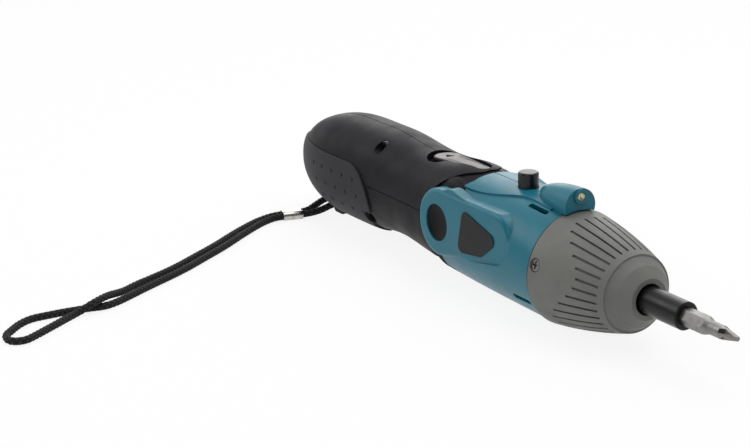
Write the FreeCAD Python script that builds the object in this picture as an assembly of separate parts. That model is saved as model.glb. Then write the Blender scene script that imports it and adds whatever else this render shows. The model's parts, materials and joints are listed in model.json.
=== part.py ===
import FreeCAD, Part
import math
import os
from FreeCAD import Vector

# Cordless screwdriver with a handle that swivels from straight to pistol.
# Millimetres. +X runs along the spindle towards the bit, +Z is up, and the tool lies on z = 0.
# The origin is on that surface, under the middle of the tool's length.

# Lengths along the tool, from the rear end to the tip of the bit
handle_length = 132.5
housing_length = 66.5
gear_case_length = 46.8
sleeve_proud = 22.2
bit_proud = 28.5

# Handle sections: places are distances behind the swivel axis, tops and bottoms are from the spindle axis
dome_length = 43.0
dome_angles = (84, 74, 62, 48, 32, 16)
bulge_half_width = 21.0
bulge_top = 26.8
bulge_bottom = 17.8
crown_place = 69.5
crown_half_width = 20.6
crown_top = 27.0
crown_bottom = 17.9
waist_place = 49.5
waist_half_width = 19.8
waist_top = 25.8
waist_bottom = 16.3
neck_place = 29.5
neck_half_width = 19.8
neck_top = 24.3
neck_bottom = 16.9
joint_half_width = 20.8
joint_top = 26.5
joint_bottom = 20.3
joint_power = 2.0
lead_place = 13.5
lead_top = 22.6
handle_wall = 2.4

# Motor housing sections: places are distances ahead of the swivel axis
tail_place = -16.5
tail_half_width = 20.6
tail_top = 24.3
tail_bottom = 19.8
shoulder_place = 10.5
shoulder_half_width = 21.6
shoulder_top = 24.2
shoulder_bottom = 21.0
middle_place = 35.5
middle_half_width = 22.3
middle_top = 24.2
middle_bottom = 21.6
housing_wall = 2.2
rim_step = 0.5
body_power = 2.25
round_power = 2.0
section_points = 28

# Gear case
gear_case_radius = 23.4
foot_flat = 0.5
rim_round = 1.0
collar_place = 39.0
collar_radius = 14.9
collar_step = 0.7
collar_face_place = 43.0
collar_face_radius = 12.2
lip_radius = 8.2
mouth_radius = 6.25
case_swell = 0.9
spigot_length = 9.0
spigot_radius = 20.2
spigot_clearance = 0.12
groove_count = 32
groove_width = 0.9
groove_depth = 0.7
groove_rear = 8.5
groove_front = 36.0
groove_wave = 16.5
groove_wave_angle = 62.0

# Swivel joint
pivot_rise = 4.6
swivel_angle = 35.0
ear_radius = 14.2
ear_face = 21.3
ear_round = 2.2
plate_tip_place = 42.0
plate_tip_rise = 8.5
plate_tip_radius = 10.5
drum_radius = 18.2
drum_half_width = 14.6
drum_wall = 2.6
drum_edge = 5.0
apron_step = 0.7
drum_window = 9.0
guard_radius = 20.4
guard_rear_angle = 196.0
guard_front_angle = 276.0
stub_radius = 7.8
stub_dish = 1.6
swivel_gap = 0.4
running_clearance = 0.05
washer_thickness = 0.8
washer_width = 4.0
edge_place = 7.9
edge_top = 25.0
edge_bend_place = -1.5
edge_bend_height = 22.2
edge_angle = 128.0
hood_edge_place = 11.0
hood_notch_place = 7.7
hood_notch_height = 20.3
hood_foot_place = 4.0
hood_foot_height = 18.2
hood_edge_drop = 1.0
web_outline = ((0.5, 18.0), (3.5, 18.9), (7.7, 20.5), (10.5, 20.7), (20.0, 18.6))
web_face = 20.4
hood_raise = 0.8
hood_wave = ((3.0, 12.4), (20.0, 13.4), (33.3, 10.6), (42.0, 7.4), (52.0, 6.6), (60.0, 7.2))

# Lamp and its push button
lobe_front = 3.0
lobe_length = 25.0
lobe_radius = 7.2
lobe_rise = 25.4
lamp_rise = 29.4
lamp_radius = 1.7
lamp_proud = 1.0
lamp_length = 9.0
lamp_collar_radius = 3.0
lamp_collar_proud = 0.8
lamp_board_thickness = 1.2
button_place = 34.8
button_radius = 4.2
button_clearance = 0.08
button_top = 31.2
button_edge = 0.8
button_flange_radius = 5.4
button_flange_thickness = 1.0
button_stem_radius = 2.0
button_travel = 1.5
lamp_switch_size = 7.0
lamp_switch_height = 1.9
lamp_switch_cap = 0.4

# Vents, label plate and grip panels
vent_length = 12.0
vent_width = 2.4
vent_places = ((54.5, 68.0), (59.0, -31.0))
label_thickness = 0.3
label_corner = 3.0
label_corners = ((19.6, 15.2), (45.4, 8.2), (32.7, -1.5), (15.6, -3.7))
grip_raise = 0.8
grip_depth = 0.9
grip_gap = 0.05
grip_top = 13.0
grip_front = 56.3
grip_corner = 17.0
grip_foot_lean = 5.2
grip_foot_depth = 14.0
grip_middle_gap = 5.0
side_groove_width = 0.6
side_groove_depth = 0.45
side_groove_height = 5.5
seam_width = 0.36
seam_depth = 0.4

# Rocker switch
rocker_length = 36.0
rocker_half_width = 6.0
rocker_front_half_width = 3.2
rocker_centre = -12.0
rocker_bottom = 21.5
rocker_rear_top = 24.0
rocker_front_top = 25.4
rocker_edge = 0.7
rocker_gap = 0.4
rocker_floor = 19.8
rocker_axle_radius = 1.1
rocker_axle_half_length = 6.6
rocker_axle_height = 22.6
rocker_stem_place = -26.0
rocker_stem_size = 4.0
rocker_stem_gap = 1.6
rocker_press = 1.2
tray_half_width = 10.5
tray_bottom = 17.0
tray_margin = 3.0
scoop_radius = 8.8
scoop_floor = 20.8
switch_length = 22.0
switch_width = 12.0
switch_height = 12.0
switch_place = -37.0
switch_rise = 4.0
seat_gap = 0.1
rib_thickness = 2.0

# Battery, charging socket and strap eyelet
cell_radius = 7.1
cell_length = 43.0
cell_pitch = 14.4
cell_front = -63.0
cell_nub_radius = 2.6
cell_nub = 0.8
cell_rise = 4.5
sleeve_wall = 0.35
link_thickness = 0.3
link_width = 6.0
battery_rib_inset = 8.0
socket_bore_radius = 2.1
socket_depth = 10.0
socket_neck_radius = 4.0
socket_neck_length = 4.0
socket_body_radius = 5.2
socket_length = 13.0
socket_inset = 0.4
eyelet_place = -111.5
eyelet_length = 9.0
eyelet_half_thickness = 2.5
eyelet_height = 9.5
eyelet_hole_radius = 2.6
eyelet_hole_height = 5.2
eyelet_round = 2.0
eyelet_foot_half_width = 5.0
eyelet_foot = 1.6

# Strap, as points chosen along its route
cord_diameter = 3.0
ferrule_wall = 0.5
ferrule_length = 9.0
ferrule_clearance = 0.08
ferrule_centre = (-131.4, -25.0)
ferrule_heading = 255.2
strand_half = 1.7
strap_height = 1.52
strap_run = (
    (-131.3, -40.5, 1.7), (-126.0, -49.5, 1.7), (-118.2, -61.0, 1.7),
    (-109.0, -73.5, 1.7), (-100.0, -87.8, 1.75), (-91.5, -101.6, 1.8), (-85.5, -114.0, 1.95),
    (-79.6, -126.0, 2.1), (-76.0, -136.7, 1.95), (-72.8, -147.2, 1.7),
)
strap_over = ((-71.2, -152.4, 4.9), (-67.4, -158.0, 4.9))
strap_end = (
    (-61.5, -166.0, 1.52), (-54.3, -177.1, 1.52), (-48.2, -188.2, 1.52), (-46.6, -193.0, 1.52),
    (-49.5, -196.6, 1.52), (-55.0, -196.0, 1.52), (-61.6, -190.1, 1.52), (-70.6, -178.7, 1.52),
    (-71.6, -170.1, 1.52), (-69.6, -162.6, 1.52), (-69.7, -155.2, 1.52),
)
tie_points = (
    (-126.5, -12.2, 3.2), (-127.0, -5.6, 5.0), (-127.1, 5.4, 5.2), (-130.6, 9.6, 5.0),
    (-135.6, 9.0, 4.8), (-138.0, 3.6, 4.8), (-137.6, -3.6, 4.6), (-135.0, -10.4, 3.2),
)
strand_lead = 7.0

# Motor
motor_radius = 14.0
motor_wall = 0.8
motor_rear = 23.5
motor_length = 34.0
motor_boss_radius = 5.0
motor_boss_length = 2.0
end_cap_length = 4.5
motor_shaft_radius = 1.15
magnet_thickness = 2.4
magnet_length = 24.0
magnet_span = 130.0
armature_radius = 10.1
armature_length = 20.0
armature_slot_count = 5
armature_slot_width = 1.6
armature_slot_depth = 4.5
commutator_radius = 4.4
commutator_length = 5.0
armature_gap = 1.0
magnet_place = 4.0
shaft_inset = 0.5
cap_boss_inset = 1.5

# Gear train, two planetary stages in one ring
gear_module = 0.5
sun_teeth = 9
planet_teeth = 24
ring_teeth = 57
planet_count = 3
tooth_tip = 0.85
tooth_root = 1.15
tooth_fill = 0.75
tooth_tip_share = 0.45
tooth_root_share = 1.3
gear_plate_thickness = 2.0
first_width = 6.0
second_width = 7.0
carrier_thickness = 2.0
second_carrier_thickness = 2.5
stack_gap = 0.4
planet_pin_radius = 1.5
planet_clearance = 0.04
ring_wall = 2.4
washer_stack = 1.0

# Spindle, bush and bit
spindle_radius = 5.0
sleeve_radius = 5.5
sleeve_edge = 0.5
tenon_radius = 3.0
bush_radius = 8.0
bush_clearance = 0.02
bush_length = 18.0
clip_thickness = 1.0
clip_radius = 7.4
clip_groove = 0.5
socket_hex = 6.35
hex_clearance = 0.08
socket_hex_depth = 25.0
magnet_disc_thickness = 3.0
bit_hex_proud = 11.0
bit_shank_radius = 2.6
bit_taper_length = 3.0
bit_tip_length = 8.0
bit_tip_radius = 0.9
bit_flute_count = 4
bit_flute_width = 1.6
bit_flute_root = 0.56
bit_flute_lean = 6.0

# Screws
screw_head_radius = 2.4
screw_head_height = 1.8
screw_shank_radius = 1.35
screw_recess = 2.2
screw_recess_clearance = 0.35
screw_boss_radius = 3.2
screw_slot_width = 0.9
screw_slot_depth = 1.0
screw_slot_share = 0.7
screw_bite = 6.0
case_screw_length = 2.8
handle_screw_places = ((-56.8, 22.2), (-59.5, -9.0))
housing_screw_places = ((46.0, 19.5), (24.0, -16.5), (50.0, -18.0))
case_screw_place = 4.2
case_screw_angle = 15.0

# Places worked out from the sizes above
total_length = handle_length + housing_length + gear_case_length + sleeve_proud + bit_proud
rear_x = -total_length / 2
pivot_x = rear_x + handle_length
rim_x = pivot_x + housing_length
mouth_x = rim_x + gear_case_length
sleeve_x = mouth_x + sleeve_proud
tip_x = sleeve_x + bit_proud
axis_z = gear_case_radius - foot_flat
pivot_z = axis_z + pivot_rise
ear_inner = drum_half_width + washer_thickness + 2 * running_clearance
bulge_x = rear_x + dome_length * math.sin(math.radians(dome_angles[0]))
REACH = 400.0
X_AXIS = Vector(1, 0, 0)
Y_AXIS = Vector(0, 1, 0)
Z_AXIS = Vector(0, 0, 1)


def at(ahead, up, across=0.0):
    """A point given ahead of the swivel axis and above the spindle axis."""
    return Vector(pivot_x + ahead, across, axis_z + up)


def rod(start, direction, length, radius):
    return Part.makeCylinder(radius, length, start, direction)


def tube(start, direction, length, outer, inner):
    return rod(start, direction, length, outer).cut(rod(start, direction, length, inner))


def box(x0, x1, y0, y1, z0, z1):
    return Part.makeBox(x1 - x0, y1 - y0, z1 - z0, Vector(x0, y0, z0))


def prism(edges, direction):
    """Extrude a closed outline both ways along a direction."""
    face = Part.Face(Part.Wire(edges))
    face.translate(direction * -REACH)
    return face.extrude(direction * (2 * REACH))


def lines(points):
    """Straight edges through points, in order."""
    return [Part.LineSegment(a, b).toShape() for a, b in zip(points, points[1:])]


def arc(a, b, c):
    return Part.Arc(a, b, c).toShape()


def around(angle, radius, across=0.0):
    """A point on a circle about the swivel axis; angles run from +X towards +Z."""
    turn = math.radians(angle)
    return Vector(pivot_x + radius * math.cos(turn), across, pivot_z + radius * math.sin(turn))


def half_space(side):
    """The half of space on one side of the middle plane."""
    low = -REACH if side < 0 else 0
    return box(-REACH, REACH, low, low + REACH, -REACH, REACH)


def right_half(shape):
    return shape.common(half_space(-1))


def mirrored(shape):
    return shape.mirror(Vector(0, 0, 0), Y_AXIS)


def one(shape):
    """The single solid of a shape, with split faces merged."""
    return max(shape.removeSplitter().Solids, key=lambda solid: solid.Volume)


def oval(x, half_width, top, bottom, power):
    """A closed section across the tool, between an ellipse and a rounded rectangle."""
    middle = axis_z + (top - bottom) / 2
    half_height = (top + bottom) / 2
    points = []
    for index in range(section_points):
        turn = 2 * math.pi * index / section_points
        across = math.copysign(abs(math.cos(turn)) ** (2 / power), math.cos(turn))
        up = math.copysign(abs(math.sin(turn)) ** (2 / power), math.sin(turn))
        points.append(Vector(x, half_width * across, middle + half_height * up))
    curve = Part.BSplineCurve()
    curve.interpolate(points, PeriodicFlag=True)
    return Part.Wire(curve.toShape())


def handle_body(inset):
    """The handle's outer form, drawn in by an inset."""
    middle = (bulge_top - bulge_bottom) / 2
    half_height = (bulge_top + bulge_bottom) / 2 - inset
    sections = []
    for angle in dome_angles:
        share = math.cos(math.radians(angle))
        x = bulge_x - (dome_length - inset) * math.sin(math.radians(angle))
        sections.append((x, (bulge_half_width - inset) * share,
                         middle + half_height * share, half_height * share - middle))
    plain = [
        (bulge_x, bulge_half_width, bulge_top, bulge_bottom),
        (pivot_x - crown_place, crown_half_width, crown_top, crown_bottom),
        (pivot_x - waist_place, waist_half_width, waist_top, waist_bottom),
        (pivot_x - neck_place, neck_half_width, neck_top, neck_bottom),
    ]
    joint = [
        (pivot_x, joint_half_width, joint_top, joint_bottom),
        (pivot_x + lead_place, joint_half_width, lead_top, joint_bottom),
    ]
    sections += [(x, wide - inset, top - inset, bottom - inset) for x, wide, top, bottom in plain]
    wires = [oval(*section, body_power) for section in sections]
    wires += [oval(x, wide - inset, top - inset, bottom - inset, joint_power) for x, wide, top, bottom in joint]
    return Part.makeLoft(wires, True)


def housing_body(inset):
    """The motor housing's outer form, drawn in by an inset."""
    front = gear_case_radius - rim_step
    sections = [
        (pivot_x + tail_place, tail_half_width, tail_top, tail_bottom, body_power),
        (pivot_x + shoulder_place, shoulder_half_width, shoulder_top, shoulder_bottom, body_power),
        (pivot_x + middle_place, middle_half_width, middle_top, middle_bottom, body_power),
        (rim_x, front, front, front, round_power),
    ]
    wires = [oval(x, wide - inset, top - inset, bottom - inset, power)
             for x, wide, top, bottom, power in sections]
    return Part.makeLoft(wires, True)


def slab(body, x):
    """A slice of a body, for a rib."""
    return body.common(box(x, x + rib_thickness, -REACH, REACH, -REACH, REACH))


def screw(seat, direction, length):
    """A pan-head cross screw whose head stands on a seat and whose shank goes the other way."""
    head = rod(Vector(0, 0, 0), Z_AXIS, screw_head_height, screw_head_radius)
    shank = rod(Vector(0, 0, -length), Z_AXIS, length, screw_shank_radius)
    half = screw_slot_width / 2
    reach = screw_head_radius * screw_slot_share
    base = screw_head_height - screw_slot_depth
    cross = [box(-reach, reach, -half, half, base, screw_head_height + 1),
             box(-half, half, -reach, reach, base, screw_head_height + 1)]
    body = one(head.fuse(shank).cut(cross))
    body.Placement = FreeCAD.Placement(seat, FreeCAD.Rotation(Z_AXIS, direction))
    return body


def egg(big, big_radius, small, small_radius, side):
    """A face round two circles and their common tangents; the side vector spans its plane with X."""
    gap = small - big
    heading = math.atan2(gap.dot(side), gap.x)
    lean = math.acos((big_radius - small_radius) / gap.Length)

    def on(centre, radius, turn):
        return centre + X_AXIS * (radius * math.cos(turn)) + side * (radius * math.sin(turn))
    big_upper = on(big, big_radius, heading + lean)
    big_lower = on(big, big_radius, heading - lean)
    small_upper = on(small, small_radius, heading + lean)
    small_lower = on(small, small_radius, heading - lean)
    edges = [
        arc(big_upper, on(big, big_radius, heading + math.pi), big_lower),
        Part.LineSegment(big_lower, small_lower).toShape(),
        arc(small_lower, on(small, small_radius, heading), small_upper),
        Part.LineSegment(small_upper, big_upper).toShape(),
    ]
    return Part.Face(Part.Wire(edges))


def teardrop(low, high):
    """The side plate: an ear round the swivel axis drawn out to a rounded tip, between two depths."""
    face = egg(Vector(pivot_x, 0, pivot_z), ear_radius, at(plate_tip_place, plate_tip_rise), plate_tip_radius, Z_AXIS)
    face.translate(Vector(0, -high, 0))
    return face.extrude(Vector(0, high - low, 0))


def rocker_column(grow, low):
    """An upright column with the rocker's outline, a disc behind that narrows forwards, from a height."""
    rear = at(rocker_centre - rocker_length / 2 + rocker_half_width, low)
    front = at(rocker_centre + rocker_length / 2 - rocker_front_half_width, low)
    face = egg(rear, rocker_half_width + grow, front, rocker_front_half_width + grow, Y_AXIS)
    return face.extrude(Z_AXIS * REACH / 8)


def handle_region():
    """Where the handle may be: behind its front edge, round the ear and above the swing gap."""
    pocket = ear_radius + swivel_gap
    cut_angle = 270.0 - swivel_angle - 2.0
    top = at(edge_place, edge_top)
    bend = at(edge_bend_place, edge_bend_height)
    start = around(edge_angle, pocket)
    end = around(cut_angle, pocket)
    middle = around((edge_angle + cut_angle) / 2, pocket)
    far = around(cut_angle, REACH / 4)
    edges = lines([at(edge_place, REACH / 4), top])
    edges.append(arc(top, bend, start))
    edges.append(arc(start, middle, end))
    edges += lines([end, far, Vector(-REACH, 0, far.z), Vector(-REACH, 0, axis_z + REACH / 4),
                    at(edge_place, REACH / 4)])
    return prism(edges, Y_AXIS)


def hood_edge(back):
    """The hood's rear edge from the side, from the top down, moved back by a gap."""
    return [at(hood_edge_place - back, REACH / 4), at(hood_edge_place - back, shoulder_top - hood_edge_drop),
            at(hood_notch_place - back, hood_notch_height), at(hood_foot_place - back, hood_foot_height)]


def apron():
    """The right half of the crowned skin that closes the space between the handle's edge and the hood."""
    rear = around(edge_angle, ear_radius)
    outline = hood_edge(swivel_gap + running_clearance)
    edges = lines(outline + [rear, Vector(rear.x, 0, axis_z + REACH / 4), outline[0]])
    form = prism(edges, Y_AXIS).common(right_half(handle_body(apron_step)))
    return form.common(box(-REACH, REACH, -drum_half_width, 0, -REACH, REACH))


def housing_region():
    """Where the motor housing's wall may be: ahead of the hood's edge and of the swivel axis."""
    low = Vector(pivot_x + swivel_gap, 0, -REACH / 4)
    edges = lines(hood_edge(0) + [Vector(pivot_x + swivel_gap, 0, pivot_z), low, Vector(REACH, 0, low.z),
                                  Vector(REACH, 0, axis_z + REACH / 4), at(hood_edge_place, REACH / 4)])
    return prism(edges, Y_AXIS)


def stadium(centre_x, length, half_width, low, high):
    """An upright prism with round ends, along X on the middle plane."""
    run = length / 2 - half_width
    body = box(centre_x - run, centre_x + run, -half_width, half_width, low, high)
    for end in (-run, run):
        body = body.fuse(rod(Vector(centre_x + end, 0, low), Z_AXIS, high - low, half_width))
    return body.removeSplitter()


def grip_outline(grow):
    """The grip panel's outline from the side, grown by a gap: below a top edge, behind a front edge."""
    front = pivot_x - grip_front + grow
    top = axis_z + grip_top + grow
    corner = grip_corner
    knee = Vector(front - corner * (1 - math.cos(math.pi / 4)), 0, top - corner * (1 - math.sin(math.pi / 4)))
    edges = lines([Vector(-REACH, 0, top), Vector(front - corner, 0, top)])
    edges.append(arc(Vector(front - corner, 0, top), knee, Vector(front, 0, top - corner)))
    foot = front - grip_foot_lean
    edges += lines([Vector(front, 0, top - corner), Vector(foot, 0, axis_z - grip_foot_depth),
                    Vector(foot, 0, -REACH / 4), Vector(-REACH, 0, -REACH / 4), Vector(-REACH, 0, top)])
    return prism(edges, Y_AXIS)


def grip_side(grow):
    """The part of the right side, clear of the middle plane, that a grip panel covers."""
    return grip_outline(grow).common(box(-REACH, REACH, -REACH, -grip_middle_gap + grow, -REACH, REACH))


def cells():
    group = []
    for across in (-1, 1):
        for up in (-1, 1):
            y = across * cell_pitch / 2
            z = axis_z + cell_rise + up * cell_pitch / 2
            start = Vector(pivot_x + cell_front - cell_length, y, z)
            body = rod(start, X_AXIS, cell_length, cell_radius)
            nub = rod(start + X_AXIS * cell_length, X_AXIS, cell_nub, cell_nub_radius)
            group.append(one(body.fuse(nub)))
    return Part.makeCompound(group)


def battery_outline(grow):
    """The rounded square round four cells, along X."""
    half = cell_pitch / 2
    radius = cell_radius + grow
    x = pivot_x + cell_front - cell_length
    middle = axis_z + cell_rise
    edges = []
    for across, up in ((1, 1), (-1, 1), (-1, -1), (1, -1)):
        centre = Vector(x, across * half, middle + up * half)
        side = Vector(0, across * radius, 0)
        rise = Vector(0, 0, up * radius)
        diagonal = Vector(0, across * radius * math.sqrt(0.5), up * radius * math.sqrt(0.5))
        first, last = (side, rise) if across * up > 0 else (rise, side)
        edges.append(arc(centre + first, centre + diagonal, centre + last))
    joined = []
    for index, edge in enumerate(edges):
        following = edges[(index + 1) % len(edges)]
        joined.append(edge)
        joined.append(Part.LineSegment(edge.lastVertex().Point, following.firstVertex().Point).toShape())
    face = Part.Face(Part.Wire(Part.__sortEdges__(joined)))
    return face.extrude(X_AXIS * cell_length)


def handle_shell():
    """The right handle shell, before its screw holes."""
    outer = right_half(handle_body(0))
    form = outer.common(handle_region())
    shell = form.cut(handle_body(handle_wall))
    # The front wall follows the ear's pocket, and the drum between the ears carries the stub axle.
    front_wall = form.common(rod(around(0, 0, -REACH), Y_AXIS, REACH, guard_radius))
    side = around(0, 0, -drum_half_width)
    drum = rod(side, Y_AXIS, drum_half_width, drum_radius)
    drum = drum.makeFillet(drum_edge, [edge for edge in drum.Edges if edge.BoundBox.YMax < -drum_wall])
    drum = drum.cut(rod(side + Y_AXIS * drum_wall, Y_AXIS, drum_half_width, drum_radius - drum_wall))
    sector = prism(lines([around(0, 0), around(guard_rear_angle, REACH), around(guard_front_angle, REACH),
                          around(0, 0)]), Y_AXIS)
    guard = tube(side, Y_AXIS, drum_half_width, guard_radius, drum_radius - drum_wall / 2).common(sector)
    stub_end = ear_face - stub_dish / 2
    stub = rod(around(0, 0, -stub_end), Y_AXIS, stub_end - drum_half_width + drum_wall / 2, stub_radius)
    dish_radius = (stub_radius ** 2 + stub_dish ** 2) / (2 * stub_dish)
    dish = Part.makeSphere(dish_radius, around(0, 0, -stub_end - dish_radius + stub_dish))
    # Ribs hold the battery, the switch and the charging socket.
    inner = right_half(handle_body(handle_wall / 2))
    battery = battery_outline(sleeve_wall + seat_gap + running_clearance)
    battery_rear = cell_front - cell_length
    ribs = [slab(inner, pivot_x + cell_front - battery_rib_inset - rib_thickness).cut(battery),
            slab(inner, pivot_x + battery_rear + battery_rib_inset).cut(battery),
            slab(inner, pivot_x + switch_place - rib_thickness / 2).cut(switch_block(seat_gap)),
            slab(inner, socket_shoulder_x() + rib_thickness).cut(socket_hole())]
    tray = box(pivot_x + rocker_centre - rocker_length / 2 - tray_margin, pivot_x + edge_place,
               -tray_half_width, 0, axis_z + tray_bottom, axis_z + REACH / 8)
    bosses = [rod(at(ahead, up, -REACH / 8), Y_AXIS, REACH / 8, screw_boss_radius).common(form)
              for ahead, up in handle_screw_places]
    whole = shell.fuse([front_wall, drum, apron(), guard, stub, tray.common(form)] + ribs + bosses)
    return whole.cut(handle_openings(outer) + [dish])


def handle_openings(outer):
    """Everything cut from a handle shell but its screw holes."""
    centre = pivot_x + rocker_centre
    slot = rocker_column(rocker_gap, rocker_floor)
    rear_pad = Vector(centre - rocker_length / 2 + rocker_half_width, 0, axis_z + scoop_floor)
    scoop = rod(rear_pad, Z_AXIS, REACH / 8, scoop_radius)
    axle_end = rocker_axle_half_length + rocker_gap
    axle = rod(at(rocker_centre, rocker_axle_height, -axle_end), Y_AXIS, 2 * axle_end,
               rocker_axle_radius + running_clearance)
    stem = rocker_stem(rocker_stem_gap)
    window = box(pivot_x - drum_radius - handle_wall, pivot_x, -drum_window / 2, drum_window / 2,
                 pivot_z - drum_window / 2, pivot_z + drum_window / 2)
    neck = rod(Vector(rear_x - REACH / 8, 0, socket_z()), X_AXIS, socket_shoulder_x() - rear_x + REACH / 8,
               socket_neck_radius + seat_gap)
    eyelet_x = pivot_x + eyelet_place
    half_length = eyelet_length / 2 + seat_gap
    half_width = eyelet_half_thickness + seat_gap
    eyelet_slot = box(eyelet_x - half_length, eyelet_x + half_length, -half_width, half_width,
                      -REACH / 8, shell_floor() + eyelet_foot)
    # The grip panel lies in a recess, and a seam and a side groove show on the skin.
    recess = outer.cut(handle_body(grip_depth + grip_gap)).common(grip_side(grip_gap))
    seam = outer.cut(handle_body(seam_depth)).common(box(-REACH, REACH, -seam_width / 2, 0, -REACH, REACH))
    line = box(pivot_x - grip_front + grip_gap, pivot_x - ear_radius - swivel_gap, -REACH, REACH,
               axis_z + side_groove_height, axis_z + side_groove_height + side_groove_width)
    groove = outer.cut(handle_body(side_groove_depth)).common(line)
    return [slot, scoop, axle, stem, window, neck, eyelet_slot, recess, seam, groove]


def screw_hole(ahead, up, side, depth):
    """A counterbore for the head and a hole for the shank, entered from one side."""
    direction = Vector(0, side, 0)
    seat = at(ahead, up, side * depth)
    length = depth + screw_bite + seat_gap
    hole = rod(seat, direction, REACH / 8, screw_head_radius + screw_recess_clearance)
    return hole.fuse(rod(seat - direction * length, direction, length, screw_shank_radius + running_clearance))


def body_screw(ahead, up, side, depth):
    return screw(at(ahead, up, side * depth), Vector(0, side, 0), depth + screw_bite)


def seat_depth(half_width, top, bottom, up):
    """How far from the middle plane a screw's head sits, at a height in an oval section."""
    middle = (top - bottom) / 2
    half_height = (top + bottom) / 2
    share = (1 - (abs(up - middle) / half_height) ** body_power) ** (1 / body_power)
    return half_width * share - screw_recess - screw_head_height / 2


def handle_seat(up):
    return seat_depth(waist_half_width, waist_top, waist_bottom, up)


def housing_seat(up):
    return seat_depth(middle_half_width, middle_top, middle_bottom, up)


def switch_block(grow):
    return box(pivot_x + switch_place - switch_length / 2 - grow, pivot_x + switch_place + switch_length / 2 + grow,
               -switch_width / 2 - grow, switch_width / 2 + grow,
               axis_z + switch_rise - switch_height / 2 - grow, axis_z + switch_rise + switch_height / 2 + grow)


def socket_shoulder_x():
    """Where the charging socket's neck meets its body."""
    return rear_x + socket_inset + socket_neck_length


def socket_hole():
    return rod(Vector(rear_x, 0, socket_z()), X_AXIS, handle_length, socket_body_radius + seat_gap)


def socket_z():
    """The charging socket's height: the middle of the handle's rear dome."""
    return axis_z + (bulge_top - bulge_bottom) / 2


def rocker_stem(grow):
    """The post under the rocker that presses the switch, or the space round it."""
    low = axis_z + switch_rise + switch_height / 2 + rocker_press
    half = rocker_stem_size / 2 + grow
    x = pivot_x + rocker_stem_place
    return box(x - half, x + half, -half, half, low - grow, axis_z + rocker_bottom + rocker_edge)


def rocker():
    centre = pivot_x + rocker_centre
    body = rocker_column(0, rocker_bottom)
    rear = centre - rocker_length / 2
    front = centre + rocker_length / 2
    slope = (rocker_front_top - rocker_rear_top) / rocker_length
    above = lines([Vector(rear - REACH / 8, 0, axis_z + rocker_rear_top - slope * REACH / 8),
                   Vector(front + REACH / 8, 0, axis_z + rocker_front_top + slope * REACH / 8),
                   Vector(front + REACH / 8, 0, axis_z + REACH), Vector(rear - REACH / 8, 0, axis_z + REACH)])
    above.append(Part.LineSegment(above[-1].lastVertex().Point, above[0].firstVertex().Point).toShape())
    body = body.cut(prism(above, Y_AXIS)).removeSplitter()
    top_edges = [edge for edge in body.Edges if edge.BoundBox.ZMin > axis_z + rocker_rear_top - rocker_edge]
    body = body.makeFillet(rocker_edge, top_edges)
    axle = rod(at(rocker_centre, rocker_axle_height, -rocker_axle_half_length), Y_AXIS,
               2 * rocker_axle_half_length, rocker_axle_radius)
    return one(body.fuse([axle, rocker_stem(0)]))


def housing_shell():
    """The right motor housing shell, before its screw holes."""
    outer = right_half(housing_body(0))
    inner = right_half(housing_body(housing_wall / 2))
    region = housing_region()
    shell = outer.common(region).cut(housing_body(housing_wall))
    plate = teardrop(ear_inner, ear_face)
    rim = [edge for edge in plate.Edges if edge.BoundBox.YMax < 0.01 - ear_face]
    plate = plate.makeFillet(ear_round, rim)
    motor_space = rod(at(0, 0), X_AXIS, REACH, motor_radius + running_clearance)
    ribs = [slab(inner, pivot_x + motor_rear + inset).cut(motor_space)
            for inset in (rib_thickness, motor_length - 4 * rib_thickness)]
    bosses = [rod(at(ahead, up, -REACH / 8), Y_AXIS, REACH / 8, screw_boss_radius).common(outer).cut(motor_space)
              for ahead, up in housing_screw_places]
    web = [at(ahead, up, -ear_inner) for ahead, up in web_outline]
    web = Part.Face(Part.makePolygon(web + web[:1])).extrude(Y_AXIS * (ear_inner - web_face))
    whole = shell.fuse([plate, web, hood(region), lamp_lobe()] + ribs + bosses)
    return whole.cut(housing_openings())


def hood(region):
    """The right half of a raised skin over the top, with a waved edge."""
    skin = right_half(housing_body(-hood_raise)).cut(housing_body(housing_wall / 2))
    curve = Part.BSplineCurve()
    curve.interpolate([at(ahead, 0, -across) for ahead, across in hood_wave])
    edge = curve.toShape()
    first = at(hood_wave[0][0], 0)
    last = at(hood_wave[-1][0], 0)
    edges = [Part.LineSegment(first, edge.firstVertex().Point).toShape(), edge,
             Part.LineSegment(edge.lastVertex().Point, last).toShape(), Part.LineSegment(last, first).toShape()]
    plan = Part.Face(Part.Wire(edges)).extrude(Z_AXIS * REACH / 8)
    return skin.common(plan).common(region)


def lamp_lobe():
    """The right half of the lamp's lobe, which grows out of the hood and reaches over the gear case's rim."""
    middle = Vector(rim_x + lobe_front, 0, axis_z + lobe_rise)
    top = middle + Z_AXIS * lobe_radius
    rear = middle - X_AXIS * lobe_length
    ellipse = Part.Ellipse(middle + X_AXIS * lobe_length, top, middle)
    curve = Part.ArcOfEllipse(ellipse, math.pi / 2, math.pi).toShape()
    profile = Part.Wire([curve] + lines([rear, middle, top]))
    lobe = Part.Face(profile).revolve(middle, X_AXIS, 180)
    collar = rod(Vector(middle.x - lamp_collar_proud, 0, axis_z + lamp_rise), X_AXIS, 2 * lamp_collar_proud,
                 lamp_collar_radius)
    return lobe.cut(housing_body(housing_wall / 2)).fuse(right_half(collar))


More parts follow.
